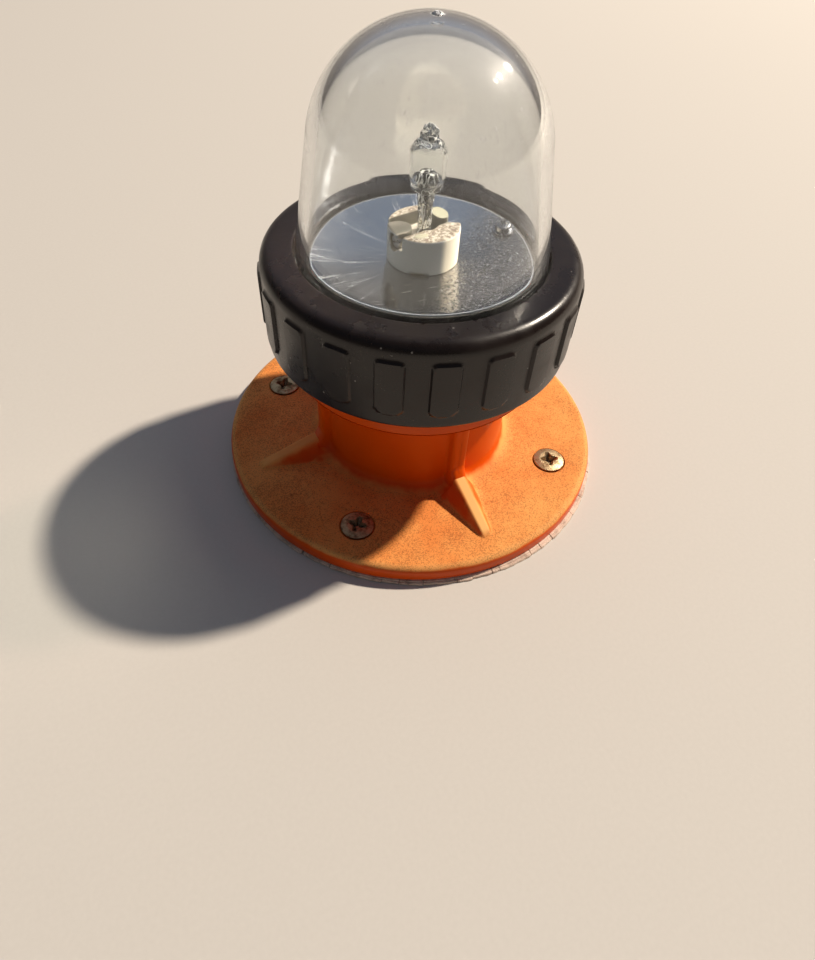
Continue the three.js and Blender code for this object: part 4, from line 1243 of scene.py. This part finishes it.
# The mound in the bulb and the middle of the foot are painted dark in patches, as painted
# shade for the dark surroundings that the glass bends into view
painted_shade_high = node(tree, "MapRange", [height.outputs["Z"], 0.084, 0.0854])
painted_shade_patchy = node(tree, "MapRange", [folds, 0.42, 0.56, 0.2, 0.85])
painted_shade_here = node(tree, "Math", [painted_shade_high, at_foot], operation="MULTIPLY")
painted_shade_part = node(tree, "Math", [painted_shade_here, painted_shade_patchy], operation="MULTIPLY")
with_painted_shade = node(tree, "MixShader", [painted_shade_part, glass, soot_and_painted_shade])
with_painted_edges = node(tree, "MixShader", [painted_glints_and_edges[1], with_painted_shade, soot_and_painted_shade])
with_painted_glints = node(tree, "MixShader", [painted_glints_and_edges[0], with_painted_edges, painted_glint_white])
lit_through(tree, with_painted_glints, "#f4f5f5")
place(capsule_mesh, quartz, "lamp", "quartz", "lamp_capsule")


# Lamp foot: the quartz was pressed flat here while hot, round the two foils that carry
# the current, so its sides are wavy. Its upper end is gathered to a round stem that
# swells to a mound in the bottom of the bulb.
PINCH_WIDE = 5.4
PINCH_THICK = 3.4
PINCH_BOTTOM = 71.9
PINCH_TOP = 81.1
FOOT_COLUMNS = 64
foot_rows = []
t = around(FOOT_COLUMNS)
for z in np.linspace(PINCH_BOTTOM, PINCH_TOP, 44):
    upward = (z - PINCH_BOTTOM) / (PINCH_TOP - PINCH_BOTTOM)
    gather = np.clip((upward - 0.55) / 0.35, 0, 1)
    gather = gather * gather * (3 - 2 * gather)
    ends = min(1.0, 0.86 + 2.2 * min(upward, 1 - upward))
    bulge = 1 - 0.035 * (1 + math.sin(2.6 * z)) * (1 - gather)
    half_wide = (PINCH_WIDE / 2 * (1 - gather) + LAMP_NECK_R * gather) * ends * bulge
    half_thick = (PINCH_THICK / 2 * (1 - gather) + LAMP_NECK_R * 0.9 * gather) * ends * bulge
    power = 2 + 4 * (1 - gather)
    across = np.sign(np.cos(t)) * np.abs(np.cos(t)) ** (2 / power) * half_wide
    thick = np.sign(np.sin(t)) * np.abs(np.sin(t)) ** (2 / power) * half_thick
    foot_rows.append(np.stack([across, thick, np.full(FOOT_COLUMNS, z)], axis=1))
stem = rounded([
    (1.3, PINCH_TOP + 0.05, 0), (1.15, 82.6, 0.4), (3.0, 85.6, 0.9), (2.3, 87.7, 1.3), (0.25, 88.4, 0),
], 0.25, closed=False)
foot_rows += list(turned(stem, t))
foot_mesh = moved(skin("lamp_foot_glass", np.array(foot_rows), loop=False, caps=True), turn=LAMP_TURN)
place(foot_mesh, quartz, "lamp", "quartz", "lamp_pinch")


# Filament: a coil of tungsten wire on two leads, which are welded to thin molybdenum
# foils in the foot.
FILAMENT_Z = 87.0
COIL_R = 0.58
COIL_HALF = 1.9
COIL_TURNS = 9
WIRE_R = 0.13
LEAD_APART, LEAD_R = 0.8, 0.22
FOIL_HALF, FOIL_THICK = 0.45, 0.06


def wire(name, path, radius, sides=10):
    """A round wire along a path of points."""
    path = np.array(path, float)
    ways = np.gradient(path, axis=0)
    ways /= np.linalg.norm(ways, axis=1)[:, None]
    side = np.cross(ways[0], (0.3, 0.9, 0.2))
    rows = []
    for spot_at, way in zip(path, ways):
        side = side - way * (side @ way)
        side /= np.linalg.norm(side)
        other = np.cross(way, side)
        t = around(sides)[:, None]
        rows.append(spot_at + radius * (np.cos(t) * side + np.sin(t) * other))
    return skin(name, np.array(rows), loop=False, caps=True)


coil_steps = np.linspace(0, 1, COIL_TURNS * 20 + 1)
coil = np.stack([
    -COIL_HALF + 2 * COIL_HALF * coil_steps,
    COIL_R * np.sin(2 * math.pi * COIL_TURNS * coil_steps),
    FILAMENT_Z + COIL_R * np.cos(2 * math.pi * COIL_TURNS * coil_steps),
], axis=1)
filament_parts = [wire("coil", coil, WIRE_R, 8)]
for side in (-1, 1):
    lead = [
        (side * LEAD_APART, 0, 78.4), (side * LEAD_APART, 0, LAMP_NECK_Z + 1.5),
        (side * LEAD_APART * 1.1, 0, LAMP_NECK_Z + 3.0), (side * COIL_HALF, 0, FILAMENT_Z - 1.6),
        (side * COIL_HALF, 0, FILAMENT_Z),
    ]
    filament_parts.append(wire("lead", lead, LEAD_R))
    foil_x = side * PIN_SPACING / 2
    foil = [(side * 0.7, 0, 78.3), (side * 1.2, 0, 76.9), (foil_x * 0.75, 0, PINCH_BOTTOM + 1.2)]
    flat = FOIL_THICK / 2
    strip = ((-FOIL_HALF, -flat), (FOIL_HALF, -flat), (FOIL_HALF, flat), (-FOIL_HALF, flat))
    rows = [[(x + across, y, z) for across, y in strip] for x, _, z in foil]
    filament_parts.append(skin("foil", np.array(rows), loop=False, caps=True))
filament_mesh = moved(joined("filament_and_foils", filament_parts), turn=LAMP_TURN)

# Blackened in blotches of under a millimetre
tungsten = clouded("drawn_tungsten_wire", {"Scale": 1500.0, "Detail": 4.0}, ("#8f8c88", "#4a4744"), {
    "Metallic": 1.0, "Roughness": 0.35,
})
place(filament_mesh, tungsten, "lamp", "filament", "lamp_filament")


# Lamp pins: two round pins of nickel wire that plug into the holder.
for index, side in enumerate((-1, 1), 1):
    pin = round_bar(f"contact_pin_{index}", rounded([
        (0, PIN_BOTTOM, 0), (PIN_R, PIN_BOTTOM, 0.3), (PIN_R, PINCH_BOTTOM, 0.05), (0, PINCH_BOTTOM, 0),
    ], 0.6, closed=False), 32)
    pin = moved(moved(pin, x=side * PIN_SPACING / 2), turn=LAMP_TURN)
    place(pin, plated, "lamp", "steel", f"lamp_pin_{index}")


# Cable grommet: moulded black rubber in the deck's hole, with a lip on each side.
GROMMET_BORE = 2.6
GROMMET_LIP = 7.3
GROMMET_FROM, GROMMET_TO = 55.7, 62.3
grommet_section = rounded([
    (GROMMET_BORE, GROMMET_FROM, 0.5), (GROMMET_LIP - 0.3, GROMMET_FROM, 0.7),
    (GROMMET_LIP, DECK_UNDER - PLAY, 0.3), (CABLE_HOLE_R - PLAY, DECK_UNDER - PLAY, 0.2),
    (CABLE_HOLE_R - PLAY, CUP_RIM + PLAY, 0.2), (GROMMET_LIP, CUP_RIM + PLAY, 0.3),
    (GROMMET_LIP - 0.3, GROMMET_TO, 0.7), (GROMMET_BORE, GROMMET_TO, 0.5),
], 0.6)
place(skin("rubber_grommet", turned(grommet_section, around(72))), rubber, "base", "rubber", "cable_grommet")
